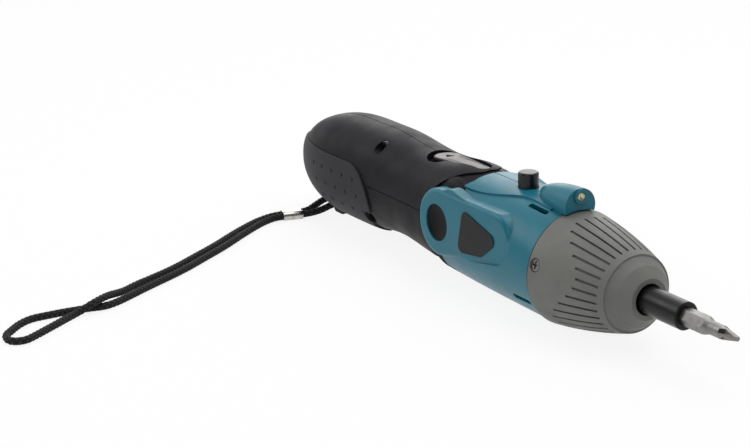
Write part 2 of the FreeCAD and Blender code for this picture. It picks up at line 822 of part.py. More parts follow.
def housing_openings():
    """Everything cut from a housing shell but its screw holes."""
    side = around(0, 0, -ear_inner)
    upper = rod(side, Y_AXIS, 2 * ear_inner, drum_radius + swivel_gap)
    lower = rod(side, Y_AXIS, 2 * ear_inner, guard_radius + swivel_gap)
    lower = lower.common(box(-REACH, REACH, -REACH, REACH, -REACH, pivot_z))
    axle = rod(around(0, 0, -REACH / 8), Y_AXIS, REACH / 4, stub_radius + running_clearance)
    flat = teardrop(ear_face, REACH / 8)
    button = rod(at(button_place, 0), Z_AXIS, REACH / 8, button_radius + button_clearance)
    flange_space = button_flange_thickness + button_travel + rocker_gap
    pocket = rod(at(button_place, flange_ledge() - flange_space), Z_AXIS, flange_space,
                 button_flange_radius + rocker_gap)
    spigot = rod(Vector(rim_x - spigot_length - spigot_clearance, 0, axis_z), X_AXIS,
                 spigot_length + 2 * spigot_clearance, spigot_radius + spigot_clearance)
    over_rim = rod(Vector(rim_x, 0, axis_z), X_AXIS, REACH, gear_case_radius + swivel_gap)
    lamp_rear = rim_x + lobe_front - lamp_length - lamp_board_thickness - seat_gap
    lamp = rod(Vector(lamp_rear, 0, axis_z + lamp_rise), X_AXIS, REACH, lamp_radius + running_clearance)
    skin = housing_body(-2 * hood_raise).cut(housing_body(seam_depth))
    seam = skin.common(box(-REACH, REACH, -seam_width / 2, seam_width / 2, -REACH, REACH))
    vents = [vent(ahead, angle) for ahead, angle in vent_places]
    return [upper, lower, axle, flat, button, pocket, spigot, over_rim, lamp, seam] + vents


def vent(ahead, angle):
    """A slot through the right wall, at an angle above the horizontal."""
    slot = stadium(0, vent_length, vent_width / 2, motor_radius + housing_wall, REACH / 8)
    slot.rotate(Vector(0, 0, 0), X_AXIS, 90 - angle)
    slot.translate(at(ahead, 0))
    return slot


def flange_ledge():
    """The height of the ledge under the hood that keeps the button in."""
    return middle_top - housing_wall - button_flange_thickness / 2


def lamp_button():
    top = axis_z + button_top
    flange_top = axis_z + flange_ledge() - seat_gap
    cap = rod(Vector(pivot_x + button_place, 0, flange_top - button_flange_thickness), Z_AXIS,
              top - flange_top + button_flange_thickness, button_radius)
    rim = [edge for edge in cap.Edges if edge.BoundBox.ZMin > top - 0.01]
    cap = cap.makeFillet(button_edge, rim)
    flange = rod(Vector(pivot_x + button_place, 0, flange_top - button_flange_thickness), Z_AXIS,
                 button_flange_thickness, button_flange_radius)
    stem_low = lamp_switch_top() + button_travel + seat_gap
    stem = rod(Vector(pivot_x + button_place, 0, stem_low), Z_AXIS,
               flange_top - stem_low, button_stem_radius)
    return one(cap.fuse([flange, stem]))


def lamp_switch_top():
    return axis_z + motor_radius + seat_gap + lamp_switch_height


def lamp_switch():
    half = lamp_switch_size / 2
    x = pivot_x + button_place
    base = box(x - half, x + half, -half, half, axis_z + motor_radius + seat_gap, lamp_switch_top() - lamp_switch_cap)
    cap = rod(Vector(x, 0, lamp_switch_top() - lamp_switch_cap), Z_AXIS, lamp_switch_cap, button_stem_radius)
    return one(base.fuse(cap))


def gear_case():
    """The nose cone: a turned shell with a spigot, a stepped collar and a bored nose."""
    stack_end = ring_front() + second_carrier_thickness + 2 * stack_gap + washer_stack
    profile = [
        (rim_x - spigot_length, spigot_radius),
        (rim_x, spigot_radius),
        (rim_x, gear_case_radius - rim_round),
        (rim_x + rim_round, gear_case_radius),
    ]
    points = [Vector(x, 0, axis_z + r) for x, r in profile]
    edges = lines(points)
    collar_start = Vector(rim_x + collar_place, 0, axis_z + collar_radius + collar_step)
    halfway = (points[-1] + collar_start) * 0.5 + Vector(0, 0, case_swell)
    edges.append(arc(points[-1], halfway, collar_start))
    rest = [
        (rim_x + collar_place, collar_radius),
        (rim_x + collar_face_place, collar_face_radius),
        (mouth_x, lip_radius),
        (mouth_x, mouth_radius),
        (bush_front() + clip_thickness + stack_gap, mouth_radius),
        (bush_front() + clip_thickness + stack_gap, bush_radius),
        (stack_end, bush_radius),
        (stack_end, ring_radius() + running_clearance),
        (rim_x - spigot_length, ring_radius() + running_clearance),
        (rim_x - spigot_length, spigot_radius),
    ]
    edges += lines([collar_start] + [Vector(x, 0, axis_z + r) for x, r in rest])
    body = Part.Face(Part.Wire(edges)).revolve(Vector(0, 0, axis_z), X_AXIS, 360)
    foot = box(rim_x - 1, mouth_x, -REACH, REACH, -REACH, 0)
    cuts = [foot] + case_grooves()
    for side in (-1, 1):
        direction, seat = case_screw_frame(side)
        cuts.append(rod(seat, direction, REACH / 8, screw_head_radius + screw_recess_clearance))
        shank = case_screw_length + seat_gap
        cuts.append(rod(seat - direction * shank, direction, shank, screw_shank_radius + running_clearance))
    return one(body.cut(cuts))


def case_radius(ahead):
    """The gear case's outer radius at a distance ahead of its rim, on a straight taper with a swell."""
    share = (ahead - rim_round) / (collar_place - rim_round)
    taper = gear_case_radius + (collar_radius + collar_step - gear_case_radius) * share
    return taper + 4 * case_swell * share * (1 - share)


def case_grooves():
    """Thin grooves along the cone; their rear ends draw forward in a wave around each side screw."""
    cuts = []
    length = gear_case_length
    for index in range(groove_count):
        angle = 360.0 * (index + 0.5) / groove_count
        to_side = min(abs((angle - side + 180) % 360 - 180) for side in (case_screw_angle, 180 - case_screw_angle))
        wave = math.cos(math.radians(90 * min(to_side / groove_wave_angle, 1))) ** 2
        rear = groove_rear + groove_wave * wave
        span = groove_front - rear
        blade = box(-span / 2, span / 2, -groove_width / 2, groove_width / 2, 0, length)
        fall = case_radius(groove_front) - case_radius(rear)
        blade.rotate(Vector(0, 0, 0), Y_AXIS, -math.degrees(math.atan2(fall, span)))
        middle = (case_radius(groove_front) + case_radius(rear)) / 2 - groove_depth
        blade.translate(Vector(rim_x + (rear + groove_front) / 2, 0, axis_z + middle))
        blade.rotate(Vector(0, 0, axis_z), X_AXIS, angle - 90)
        cuts.append(blade)
    return cuts


def case_screw_frame(side):
    """The outward direction and the head seat of a gear case screw on one side."""
    turn = math.radians(case_screw_angle)
    direction = Vector(0, side * math.cos(turn), math.sin(turn))
    depth = case_radius(case_screw_place) - screw_recess
    seat = Vector(rim_x + case_screw_place, 0, axis_z) + direction * depth
    return direction, seat


def ring_radius():
    return gear_module * ring_teeth / 2 + tooth_root * gear_module + ring_wall


def train_start():
    """Where the first stage starts: past the motor's front and the gear plate."""
    return pivot_x + motor_rear + motor_length + gear_plate_thickness


def first_carrier_x():
    return train_start() + 2 * stack_gap + first_width


def second_stage_x():
    return first_carrier_x() + carrier_thickness + stack_gap


def ring_front():
    return second_stage_x() + second_width + stack_gap


def spindle_x():
    return ring_front() + second_carrier_thickness


def bush_rear():
    return spindle_x() + 2 * stack_gap + washer_stack


def bush_front():
    return bush_rear() + bush_length


def tooth_points(teeth, phase, inward, x, y, z):
    """A gear's outline, as straight flanks, with a tooth centred on its phase angle."""
    pitch = gear_module * teeth / 2
    half = math.pi / (2 * teeth) * tooth_fill
    sign = -1 if inward else 1
    steps = ((-tooth_root_share, -tooth_root), (-1, 0), (-tooth_tip_share, tooth_tip),
             (tooth_tip_share, tooth_tip), (1, 0), (tooth_root_share, -tooth_root))
    points = []
    for index in range(teeth):
        centre = phase + 2 * math.pi * index / teeth
        for turn, rise in steps:
            angle = centre + turn * half
            radius = pitch + sign * rise * gear_module
            points.append(Vector(x, y + radius * math.cos(angle), z + radius * math.sin(angle)))
    points.append(points[0])
    return points


def gear(teeth, phase, x, width, y=0.0, z=0.0, inward=False):
    outline = Part.makePolygon(tooth_points(teeth, phase, inward, x, y, axis_z + z))
    return Part.Face(outline).extrude(X_AXIS * width)


def planet_place(index):
    """A planet's angle and the offset of its axis from the spindle axis."""
    angle = math.pi / 2 + 2 * math.pi * index / planet_count
    radius = gear_module * (sun_teeth + planet_teeth) / 2
    return angle, radius * math.cos(angle), radius * math.sin(angle)


def planet_phase(angle):
    """The phase that puts a planet's gap on the sun's tooth."""
    passed = (angle * sun_teeth / (2 * math.pi)) % 1
    return angle + math.pi - (0.5 - passed) * 2 * math.pi / planet_teeth


def ring_phase():
    """The phase that puts the ring's gap on the first planet's tooth."""
    angle = planet_place(0)[0]
    passed = ((angle - planet_phase(angle)) * planet_teeth / (2 * math.pi)) % 1
    return angle - ((passed + 0.5) % 1) * 2 * math.pi / ring_teeth


def planet(index, x, width):
    angle, y, z = planet_place(index)
    body = gear(planet_teeth, planet_phase(angle), x, width, y, z)
    return body.cut(rod(Vector(x, y, axis_z + z), X_AXIS, width, planet_pin_radius + planet_clearance))


def planet_pins(x, length):
    pins = []
    for index in range(planet_count):
        angle, y, z = planet_place(index)
        pins.append(rod(Vector(x, y, axis_z + z), X_AXIS, length, planet_pin_radius))
    return Part.makeCompound(pins)


def carrier_plate(x, thickness):
    radius = gear_module * (sun_teeth + planet_teeth) / 2 + 2 * planet_pin_radius
    plate = rod(Vector(x, 0, axis_z), X_AXIS, thickness, radius)
    return plate.cut(planet_pins(x, thickness))


def ring_gear():
    x = train_start() + seat_gap
    width = ring_front() - x
    body = rod(Vector(x, 0, axis_z), X_AXIS, width, ring_radius())
    return body.cut(gear(ring_teeth, ring_phase(), x, width, inward=True))


def hexagon(x, across_flats, length):
    corner = across_flats / math.sqrt(3)
    points = [Vector(x, corner * math.cos(math.pi * k / 3), axis_z + corner * math.sin(math.pi * k / 3))
              for k in range(7)]
    return Part.Face(Part.makePolygon(points)).extrude(X_AXIS * length)


def spindle():
    start = Vector(spindle_x(), 0, axis_z)
    neck = bush_front() + clip_thickness + stack_gap
    shaft = rod(start, X_AXIS, neck - spindle_x(), spindle_radius)
    shaft = shaft.fuse(rod(Vector(ring_front(), 0, axis_z), X_AXIS, spindle_x() - ring_front(), tenon_radius))
    sleeve = rod(Vector(neck, 0, axis_z), X_AXIS, sleeve_x - neck, sleeve_radius)
    rim = [edge for edge in sleeve.Edges if edge.BoundBox.XMin > sleeve_x - 0.01]
    sleeve = sleeve.makeChamfer(sleeve_edge, rim)
    socket = hexagon(sleeve_x - socket_hex_depth, socket_hex + 2 * hex_clearance, socket_hex_depth + 1)
    groove = tube(Vector(bush_front(), 0, axis_z), X_AXIS, clip_thickness + seat_gap,
                  spindle_radius + 1, spindle_radius - clip_groove)
    return one(shaft.fuse(sleeve).cut([socket, groove]))


def bit():
    back = sleeve_x - socket_hex_depth + magnet_disc_thickness + seat_gap
    hex_end = sleeve_x + bit_hex_proud
    body = hexagon(back, socket_hex, hex_end - back)
    corner = socket_hex / math.sqrt(3)
    taper = Part.makeCone(corner, bit_shank_radius, bit_taper_length, Vector(hex_end, 0, axis_z), X_AXIS)
    taper = taper.common(hexagon(hex_end, socket_hex, bit_taper_length))
    shank_x = hex_end + bit_taper_length
    tip_start = tip_x - bit_tip_length
    shank = rod(Vector(shank_x, 0, axis_z), X_AXIS, tip_start - shank_x, bit_shank_radius)
    tip = Part.makeCone(bit_shank_radius, bit_tip_radius, bit_tip_length, Vector(tip_start, 0, axis_z), X_AXIS)
    body = body.fuse([taper, shank, tip])
    for index in range(bit_flute_count):
        angle = 360.0 * (index + 0.5) / bit_flute_count
        flute = Part.makeBox(2 * bit_tip_length, bit_flute_width, bit_shank_radius * 2)
        flute.rotate(Vector(0, 0, 0), X_AXIS, 45)
        flute.translate(Vector(tip_start, 0, bit_flute_root))
        flute.rotate(Vector(tip_start, 0, 0), Y_AXIS, -bit_flute_lean)
        flute.translate(Vector(0, 0, axis_z))
        flute.rotate(Vector(0, 0, axis_z), X_AXIS, angle)
        body = body.cut(flute)
    return one(body)


def motor_parts():
    rear = pivot_x + motor_rear
    start = Vector(rear, 0, axis_z)
    front = rear + motor_length
    can = rod(start, X_AXIS, motor_length, motor_radius)
    can = can.cut(rod(start, X_AXIS, motor_length - motor_wall, motor_radius - motor_wall))
    can = can.fuse(rod(Vector(front, 0, axis_z), X_AXIS, motor_boss_length, motor_boss_radius))
    can = can.cut(rod(start, X_AXIS, REACH, motor_shaft_radius + running_clearance))
    cap = rod(Vector(rear - end_cap_length, 0, axis_z), X_AXIS, end_cap_length, motor_radius)
    cap = cap.cut(rod(Vector(rear - end_cap_length + motor_wall, 0, axis_z), X_AXIS, end_cap_length,
                      motor_radius - 2 * motor_wall))
    boss = rod(Vector(rear - end_cap_length, 0, axis_z), X_AXIS, end_cap_length - cap_boss_inset, motor_boss_radius / 2)
    cap = cap.fuse(boss).cut(rod(Vector(rear - end_cap_length + shaft_inset, 0, axis_z), X_AXIS, REACH,
                                 motor_shaft_radius + running_clearance))
    outer = motor_radius - motor_wall - running_clearance
    ring = tube(Vector(rear + magnet_place, 0, axis_z), X_AXIS, magnet_length, outer, outer - magnet_thickness)
    half = math.radians(magnet_span / 2)
    wedge_points = [Vector(rear, 0, axis_z), Vector(rear, REACH / 8, axis_z - math.tan(half) * REACH / 8),
                    Vector(rear, REACH / 8, axis_z + math.tan(half) * REACH / 8), Vector(rear, 0, axis_z)]
    wedge = Part.Face(Part.makePolygon(wedge_points)).extrude(X_AXIS * REACH / 8)
    magnet = ring.common(wedge)
    magnets = Part.makeCompound([magnet, mirrored(magnet)])
    core_x = rear + commutator_length + armature_gap
    core = rod(Vector(core_x, 0, axis_z), X_AXIS, armature_length, armature_radius)
    for index in range(armature_slot_count):
        slot = box(core_x, core_x + armature_length, -armature_slot_width / 2, armature_slot_width / 2,
                   armature_radius - armature_slot_depth, armature_radius + 1)
        slot.rotate(Vector(0, 0, 0), X_AXIS, 360.0 * index / armature_slot_count)
        slot.translate(Vector(0, 0, axis_z))
        core = core.cut(slot)
    bore = rod(start, X_AXIS, REACH, motor_shaft_radius)
    commutator = rod(Vector(rear, 0, axis_z), X_AXIS, commutator_length, commutator_radius)
    shaft_start = rear - end_cap_length + shaft_inset + seat_gap
    shaft_end = train_start() + stack_gap + first_width
    shaft = rod(Vector(shaft_start, 0, axis_z), X_AXIS, shaft_end - shaft_start, motor_shaft_radius)
    pinion_x = train_start() + stack_gap
    pinion = gear(sun_teeth, 0.0, pinion_x, first_width)
    return {
        "motor_can": one(can), "motor_end_cap": one(cap), "motor_magnets": magnets,
        "armature_core": one(core.cut(bore)), "commutator": one(commutator.cut(bore)),
        "motor_shaft": shaft, "motor_pinion": one(pinion.cut(bore)),
    }


def label_plate():
    """A blank plate on the right side plate, with rounded corners."""
    depth = ear_face + running_clearance
    points = [at(ahead, up, -depth) for ahead, up in label_corners]
    face = Part.Face(Part.makePolygon(points + [points[0]]))
    plate = face.extrude(Vector(0, -label_thickness, 0))
    upright = [edge for edge in plate.Edges if abs(edge.BoundBox.YLength - label_thickness) < 0.01
               and edge.BoundBox.XLength < 0.01]
    return one(plate.makeFillet(label_corner, upright))


def strap_eyelet():
    """A moulded eye under the handle's rear end, with a foot inside the shells."""
    x = pivot_x + eyelet_place
    body = box(x - eyelet_length / 2, x + eyelet_length / 2, -eyelet_half_thickness, eyelet_half_thickness,
               0, eyelet_height)
    corners = [edge for edge in body.Edges if edge.BoundBox.YLength > eyelet_half_thickness
               and edge.BoundBox.ZMax < 0.01]
    body = body.makeFillet(eyelet_round, corners)
    foot_low = shell_floor() + running_clearance
    foot = box(x - eyelet_length / 2, x + eyelet_length / 2, -eyelet_foot_half_width, eyelet_foot_half_width,
               foot_low, foot_low + eyelet_foot)
    stem = box(x - eyelet_length / 2, x + eyelet_length / 2, -eyelet_half_thickness, eyelet_half_thickness,
               eyelet_height / 2 + eyelet_hole_height / 2, foot_low + eyelet_foot)
    hole = rod(Vector(x, -REACH / 8, eyelet_hole_height), Y_AXIS, REACH / 4, eyelet_hole_radius)
    return one(body.fuse([stem, foot]).cut(hole))


def shell_floor():
    """The height of the handle's inside floor at the rear corners of the eyelet's foot."""
    back = bulge_x - pivot_x - eyelet_place + eyelet_length / 2
    share = math.cos(math.asin(back / (dome_length - handle_wall)))
    across = eyelet_foot_half_width / ((bulge_half_width - handle_wall) * share)
    middle = (bulge_top - bulge_bottom) / 2
    half_height = (bulge_top + bulge_bottom) / 2 - handle_wall
    return axis_z + middle - half_height * share * (1 - across ** body_power) ** (1 / body_power)


def bead(points):
    """A cord along points: straight runs joined by arcs as large as the runs allow."""
    corners = [Vector(*point) for point in points]
    edges = []
    radii = []
    start = corners[0]
    for before, corner, after in zip(corners, corners[1:], corners[2:]):
        back = (before - corner).normalize()
        ahead = (after - corner).normalize()
        trim = 0.45 * min((before - corner).Length, (after - corner).Length)
        half_turn = (math.pi - back.getAngle(ahead)) / 2
        radius = trim / math.tan(half_turn)
        inward = (back + ahead).normalize()
        middle = corner + inward * (radius / math.cos(half_turn) - radius)
        edges.append(Part.LineSegment(start, corner + back * trim).toShape())
        edges.append(arc(corner + back * trim, middle, corner + ahead * trim))
        radii.append(radius)
        start = corner + ahead * trim
    edges.append(Part.LineSegment(start, corners[-1]).toShape())
    path = Part.Wire(edges)
    ring = Part.Circle(corners[0], (corners[1] - corners[0]).normalize(), cord_diameter / 2)
    solid = path.makePipeShell([Part.Wire(ring.toShape())], True, False)
    section = math.pi * cord_diameter ** 2 / 4
    print("cord length %.1f, least radius %.1f, volume over section times length %.4f"
          % (path.Length, min(radii), solid.Volume / (section * path.Length)))
    print("cord radii", [round(radius, 1) for radius in radii])
    return solid


def ferrule_point(along, across):
    """A point in the ferrule, along its heading and to one side of its middle."""
    turn = math.radians(ferrule_heading)
    heading = Vector(math.cos(turn), math.sin(turn), 0)
    side = Vector(heading.y, -heading.x, 0)
    middle = Vector(ferrule_centre[0], ferrule_centre[1], ferrule_half_height())
    return middle + heading * along + side * across


def ferrule_half_height():
    return cord_diameter / 2 + ferrule_clearance + ferrule_wall


def ferrule():
    """A pressed metal sleeve round both strands."""
    hole = cord_diameter / 2 + ferrule_clearance
    half_length = ferrule_length / 2
    rear = ferrule_point(-half_length, 0)
    heading = (ferrule_point(1, 0) - ferrule_point(0, 0))

    def oval_bar(radius):
        ends = [rod(ferrule_point(-half_length, side), heading, ferrule_length, radius)
                for side in (-strand_half, strand_half)]
        flat = Part.makeBox(2 * strand_half, ferrule_length, 2 * radius, Vector(-strand_half, 0, -radius))
        flat.Placement = FreeCAD.Placement(rear, FreeCAD.Rotation(Y_AXIS, heading)).multiply(flat.Placement)
        return ends[0].fuse([ends[1], flat]).removeSplitter()
    return one(oval_bar(hole + ferrule_wall).cut(oval_bar(hole)))


def strand(side):
    """One of the two strands beside the strap's middle line, from the ferrule's middle outwards."""
    points = [tuple(ferrule_point(along, side * strand_half)) for along in (0, strand_lead)]
    way_out = ferrule_point(strand_lead, 0)
    middle = [(way_out.x, way_out.y, strand_half)] + list(strap_run)
    for before, (x, y, half), after in zip(middle, middle[1:], middle[2:] + middle[-1:]):
        heading = Vector(after[0] - before[0], after[1] - before[1], 0).normalize()
        points.append((x + heading.y * half * side, y - heading.x * half * side, strap_height))
    return points


def strap_loop():
    return bead(strand(1) + list(strap_over) + list(strap_end) + strand(-1)[::-1])


def strap_tie():
    near = [tuple(ferrule_point(along, -strand_half)) for along in (0, -strand_lead)]
    far = [tuple(ferrule_point(along, strand_half)) for along in (-strand_lead, 0)]
    return bead(near + list(tie_points) + far)


def grip():
    """The right grip panel: a soft skin laid in the shell's recess and standing a little proud."""
    return one(right_half(handle_body(-grip_raise)).cut(handle_body(grip_depth)).common(grip_side(0)))


def cell_links():
    """Metal strips that join the cells at both ends."""
    front = pivot_x + cell_front + cell_nub
    rear = pivot_x + cell_front - cell_length - link_thickness
    half = cell_pitch / 2
    middle = axis_z + cell_rise
    strips = [box(x, x + link_thickness, side * half - link_width / 2, side * half + link_width / 2,
                  middle - half - link_width / 2, middle + half + link_width / 2)
              for x in (front, rear) for side in (-1, 1)]
    return Part.makeCompound(strips)


def charging_socket():
    """A round jack in the rear end: a neck through the shells and a wider body behind it."""
    shoulder = socket_shoulder_x()
    mouth = Vector(rear_x + socket_inset, 0, socket_z())
    neck = rod(mouth, X_AXIS, socket_neck_length, socket_neck_radius)
    body = rod(Vector(shoulder, 0, socket_z()), X_AXIS, socket_length - socket_neck_length, socket_body_radius)
    return one(neck.fuse(body).cut(rod(mouth, X_AXIS, socket_depth, socket_bore_radius)))


def pivot_washers():
    rings = [tube(around(0, 0, -ear_inner + running_clearance), Y_AXIS, washer_thickness,
                  stub_radius + washer_width, stub_radius + running_clearance)]
    rings.append(mirrored(rings[0]))
    return Part.makeCompound(rings)


def lamp_lens():
    front = rim_x + lobe_front + lamp_collar_proud + lamp_proud
    middle = Vector(front - lamp_radius, 0, axis_z + lamp_rise)
    rear = rim_x + lobe_front - lamp_length
    body = rod(Vector(rear, 0, middle.z), X_AXIS, middle.x - rear, lamp_radius)
    return one(body.fuse(Part.makeSphere(lamp_radius, middle)))


def lamp_board():
    rear = rim_x + lobe_front - lamp_length - lamp_board_thickness
    return rod(Vector(rear, 0, axis_z + lamp_rise), X_AXIS, lamp_board_thickness, lamp_radius)


def retaining_ring():
    x = bush_front() + running_clearance
    ring = tube(Vector(x, 0, axis_z), X_AXIS, clip_thickness, clip_radius, spindle_radius - clip_groove)
    gap = box(x - 1, x + 1 + clip_thickness, -clip_groove * 3, clip_groove * 3, axis_z, axis_z + 2 * clip_radius)
    return one(ring.cut(gap))


def first_carrier():
    plate = carrier_plate(first_carrier_x(), carrier_thickness)
    sun = gear(sun_teeth, 0.0, first_carrier_x() + carrier_thickness, second_width + stack_gap)
    return one(plate.fuse(sun))


def second_carrier():
    plate = carrier_plate(ring_front(), second_carrier_thickness)
    return plate.cut(rod(Vector(ring_front(), 0, axis_z), X_AXIS, second_carrier_thickness, tenon_radius))


nodes = {}
right_shell = handle_shell()
right_housing = housing_shell()
handle_holes = [screw_hole(ahead, up, -1, handle_seat(up)) for ahead, up in handle_screw_places]
housing_holes = [screw_hole(ahead, up, 1, housing_seat(up)) for ahead, up in housing_screw_places]
nodes["grip_shell_right"] = one(right_shell.cut(handle_holes))
nodes["grip_shell_left"] = mirrored(one(right_shell.cut([mirrored(hole) for hole in handle_holes])))
nodes["housing_right"] = one(right_housing.cut(housing_holes))
nodes["housing_left"] = mirrored(one(right_housing.cut([mirrored(hole) for hole in housing_holes])))
soft_panel = grip()
nodes["soft_grip_right"] = one(soft_panel.cut(handle_holes))
nodes["soft_grip_left"] = mirrored(soft_panel)
nodes["handle_screws"] = Part.makeCompound(
    [body_screw(ahead, up, -1, handle_seat(up)) for ahead, up in handle_screw_places])
nodes["housing_screws"] = Part.makeCompound(
    [body_screw(ahead, up, 1, housing_seat(up)) for ahead, up in housing_screw_places])
case_frames = [case_screw_frame(side) for side in (-1, 1)]
nodes["gear_case_screws"] = Part.makeCompound(
    [screw(seat, direction, case_screw_length) for direction, seat in case_frames])
nodes["rocker_switch"] = rocker()
nodes["switch_unit"] = switch_block(0)
nodes["battery_cells"] = cells()
sleeve_inside = battery_outline(running_clearance)
nodes["battery_sleeve"] = one(battery_outline(running_clearance + sleeve_wall).cut(sleeve_inside))
nodes["cell_links"] = cell_links()
nodes["charging_socket"] = charging_socket()
nodes["strap_eyelet"] = strap_eyelet()
nodes["strap_tie"] = strap_tie()
nodes["strap_ferrule"] = ferrule()
nodes["strap_loop"] = strap_loop()
nodes["pivot_washers"] = pivot_washers()
nodes["label_plate"] = label_plate()
nodes["gear_case"] = gear_case()
nodes["lamp_lens"] = lamp_lens()
nodes["lamp_board"] = lamp_board()
nodes["lamp_button"] = lamp_button()
nodes["lamp_switch"] = lamp_switch()
nodes.update(motor_parts())
plate_start = Vector(train_start() - gear_plate_thickness, 0, axis_z)
nodes["gear_plate"] = tube(plate_start, X_AXIS, gear_plate_thickness, ring_radius(),
                           motor_boss_radius + running_clearance)
nodes["ring_gear"] = ring_gear()
nodes["first_carrier"] = first_carrier()
nodes["first_planet_pins"] = planet_pins(train_start() + stack_gap, first_width + stack_gap + carrier_thickness)
nodes["second_carrier"] = second_carrier()
nodes["second_planet_pins"] = planet_pins(second_stage_x(), second_width + stack_gap + second_carrier_thickness)
for index in range(planet_count):
    nodes["first_planet_%d" % (index + 1)] = planet(index, train_start() + stack_gap, first_width)
    nodes["second_planet_%d" % (index + 1)] = planet(index, second_stage_x(), second_width)
nodes["spindle"] = spindle()
nodes["spindle_bush"] = tube(Vector(bush_rear(), 0, axis_z), X_AXIS, bush_length,
                             bush_radius - bush_clearance, spindle_radius + running_clearance)
nodes["thrust_washer"] = tube(Vector(spindle_x() + stack_gap, 0, axis_z), X_AXIS, washer_stack,
                              bush_radius - seat_gap, spindle_radius + running_clearance)
nodes["retaining_ring"] = retaining_ring()
nodes["bit_magnet"] = rod(Vector(sleeve_x - socket_hex_depth, 0, axis_z), X_AXIS, magnet_disc_thickness,
                          socket_hex / 2)
nodes["screwdriver_bit"] = bit()

os.makedirs("parts", exist_ok=True)
for name, shape in nodes.items():
    shape.exportStep("parts/" + name + ".step")
    print("%-20s solids %d valid %s volume %.0f" % (name, len(shape.Solids), shape.isValid(), shape.Volume))
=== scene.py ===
# %% [markdown]
# # An electric screwdriver on a white table
# The solid parts of the tool come from a CAD model. Blender gives them their plastics, rubbers and
# metals, and makes the one soft thing on the tool, its plaited wrist strap. The scene is emptied
# first, so that nothing of a start-up file is left in it.

# %% Empty the scene and load the tool
import json
import math

import bpy
from mathutils import Matrix, Vector

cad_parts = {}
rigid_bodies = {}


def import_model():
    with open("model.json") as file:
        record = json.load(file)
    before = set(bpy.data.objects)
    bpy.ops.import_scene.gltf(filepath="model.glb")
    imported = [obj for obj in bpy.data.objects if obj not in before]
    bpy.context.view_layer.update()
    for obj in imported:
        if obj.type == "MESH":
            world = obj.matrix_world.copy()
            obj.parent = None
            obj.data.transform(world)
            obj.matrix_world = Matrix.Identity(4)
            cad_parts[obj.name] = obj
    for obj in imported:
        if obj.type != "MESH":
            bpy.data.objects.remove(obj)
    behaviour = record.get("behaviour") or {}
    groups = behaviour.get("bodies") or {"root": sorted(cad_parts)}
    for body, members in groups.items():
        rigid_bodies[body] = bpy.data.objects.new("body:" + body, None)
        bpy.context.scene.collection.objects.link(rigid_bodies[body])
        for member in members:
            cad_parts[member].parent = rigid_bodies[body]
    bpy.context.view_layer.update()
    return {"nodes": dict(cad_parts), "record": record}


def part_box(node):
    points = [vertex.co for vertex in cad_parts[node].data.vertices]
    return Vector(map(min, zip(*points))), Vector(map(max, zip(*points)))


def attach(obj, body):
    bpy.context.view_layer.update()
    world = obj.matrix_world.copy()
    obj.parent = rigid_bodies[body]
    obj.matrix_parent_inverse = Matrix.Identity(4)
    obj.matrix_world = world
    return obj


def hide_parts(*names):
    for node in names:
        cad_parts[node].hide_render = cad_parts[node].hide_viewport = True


bpy.ops.object.select_all(action="SELECT")
bpy.ops.object.delete()
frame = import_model()
scene = bpy.context.scene
MM = 0.001


def in_mm(corners):
    """The corners of a box in millimetres, for printing."""
    return [tuple(round(c / MM, 1) for c in corner) for corner in corners]


# %% [markdown]
# ## Camera
# The picture was taken with a long lens from in front of the bit, to the right of the tool and a
# little above it, so the tool is strongly foreshortened. A camera can be turned by hand in the
# viewport; here its place, its three turns and its lens are values, which were fitted until the
# model's outline lay on the picture's.

# %% The camera
FRAME_WIDTH_PX = 750
FOCAL_PX = 2228.5
SENSOR_MM = 36.0
CAMERA_PLACE = (0.71701, -0.49271, 0.29933)
CAMERA_TURN = math.radians(58.9)
CAMERA_DIP = math.radians(17.35)
CAMERA_ROLL = math.radians(-0.83)
lens = bpy.data.cameras.new("studio_camera")
lens.sensor_width = SENSOR_MM
lens.lens = FOCAL_PX / FRAME_WIDTH_PX * SENSOR_MM
camera = bpy.data.objects.new("studio_camera", lens)
scene.collection.objects.link(camera)
around = Matrix.Rotation(CAMERA_TURN, 4, "Z")
tilt = Matrix.Rotation(math.pi / 2 - CAMERA_DIP, 4, "X")
roll = Matrix.Rotation(CAMERA_ROLL, 4, "Z")
camera.matrix_world = Matrix.Translation(CAMERA_PLACE) @ around @ tilt @ roll
scene.camera = camera
scene.view_settings.view_transform = "Standard"
print("lens:", round(lens.lens, 1), "mm")

# %% [markdown]
# ## A few small helpers
# Colours are written as they would be picked on a screen and turned to the linear values that
# Blender counts light in. A material is a chain of nodes, so one function adds a node and another
# fills its inputs: a value is set, and a socket is linked. A node given in place of a socket stands
# for its first output in use. Patterns are laid in Object coordinates, which are metres here, so
# a pattern that repeats every so many millimetres needs a scale of a thousand divided by that size.

# %% Colour and node helpers
SHADER = "Principled BSDF"


def linear(hex_colour):
    """The linear colour, with alpha, of an sRGB hex value."""
    parts = [int(hex_colour[i:i + 2], 16) / 255 for i in (1, 3, 5)]
    return [c / 12.92 if c <= 0.04045 else ((c + 0.055) / 1.055) ** 2.4 for c in parts] + [1.0]


def fill(finish, node, inputs):
    """Fills a node's inputs: links a socket, or a node's first output in use, and sets a value."""
    for name, value in inputs.items():
        if isinstance(value, bpy.types.Node):
            value = next(socket for socket in value.outputs if socket.enabled)
        if isinstance(value, bpy.types.NodeSocket):
            finish.node_tree.links.new(value, node.inputs[name])
        else:
            node.inputs[name].default_value = value


def add(finish, kind, inputs=(), **settings):
    """Adds one node to a material or a world, with its settings and its inputs."""
    node = finish.node_tree.nodes.new("ShaderNode" + kind)
    for name, value in settings.items():
        setattr(node, name, value)
    fill(finish, node, dict(inputs))
    return node


def every(size_mm):
    """The scale of a pattern whose features are this many millimetres apart."""
    return 1000.0 / size_mm


print("mid grey #808080 in linear light:", [round(c, 3) for c in linear("#808080")])

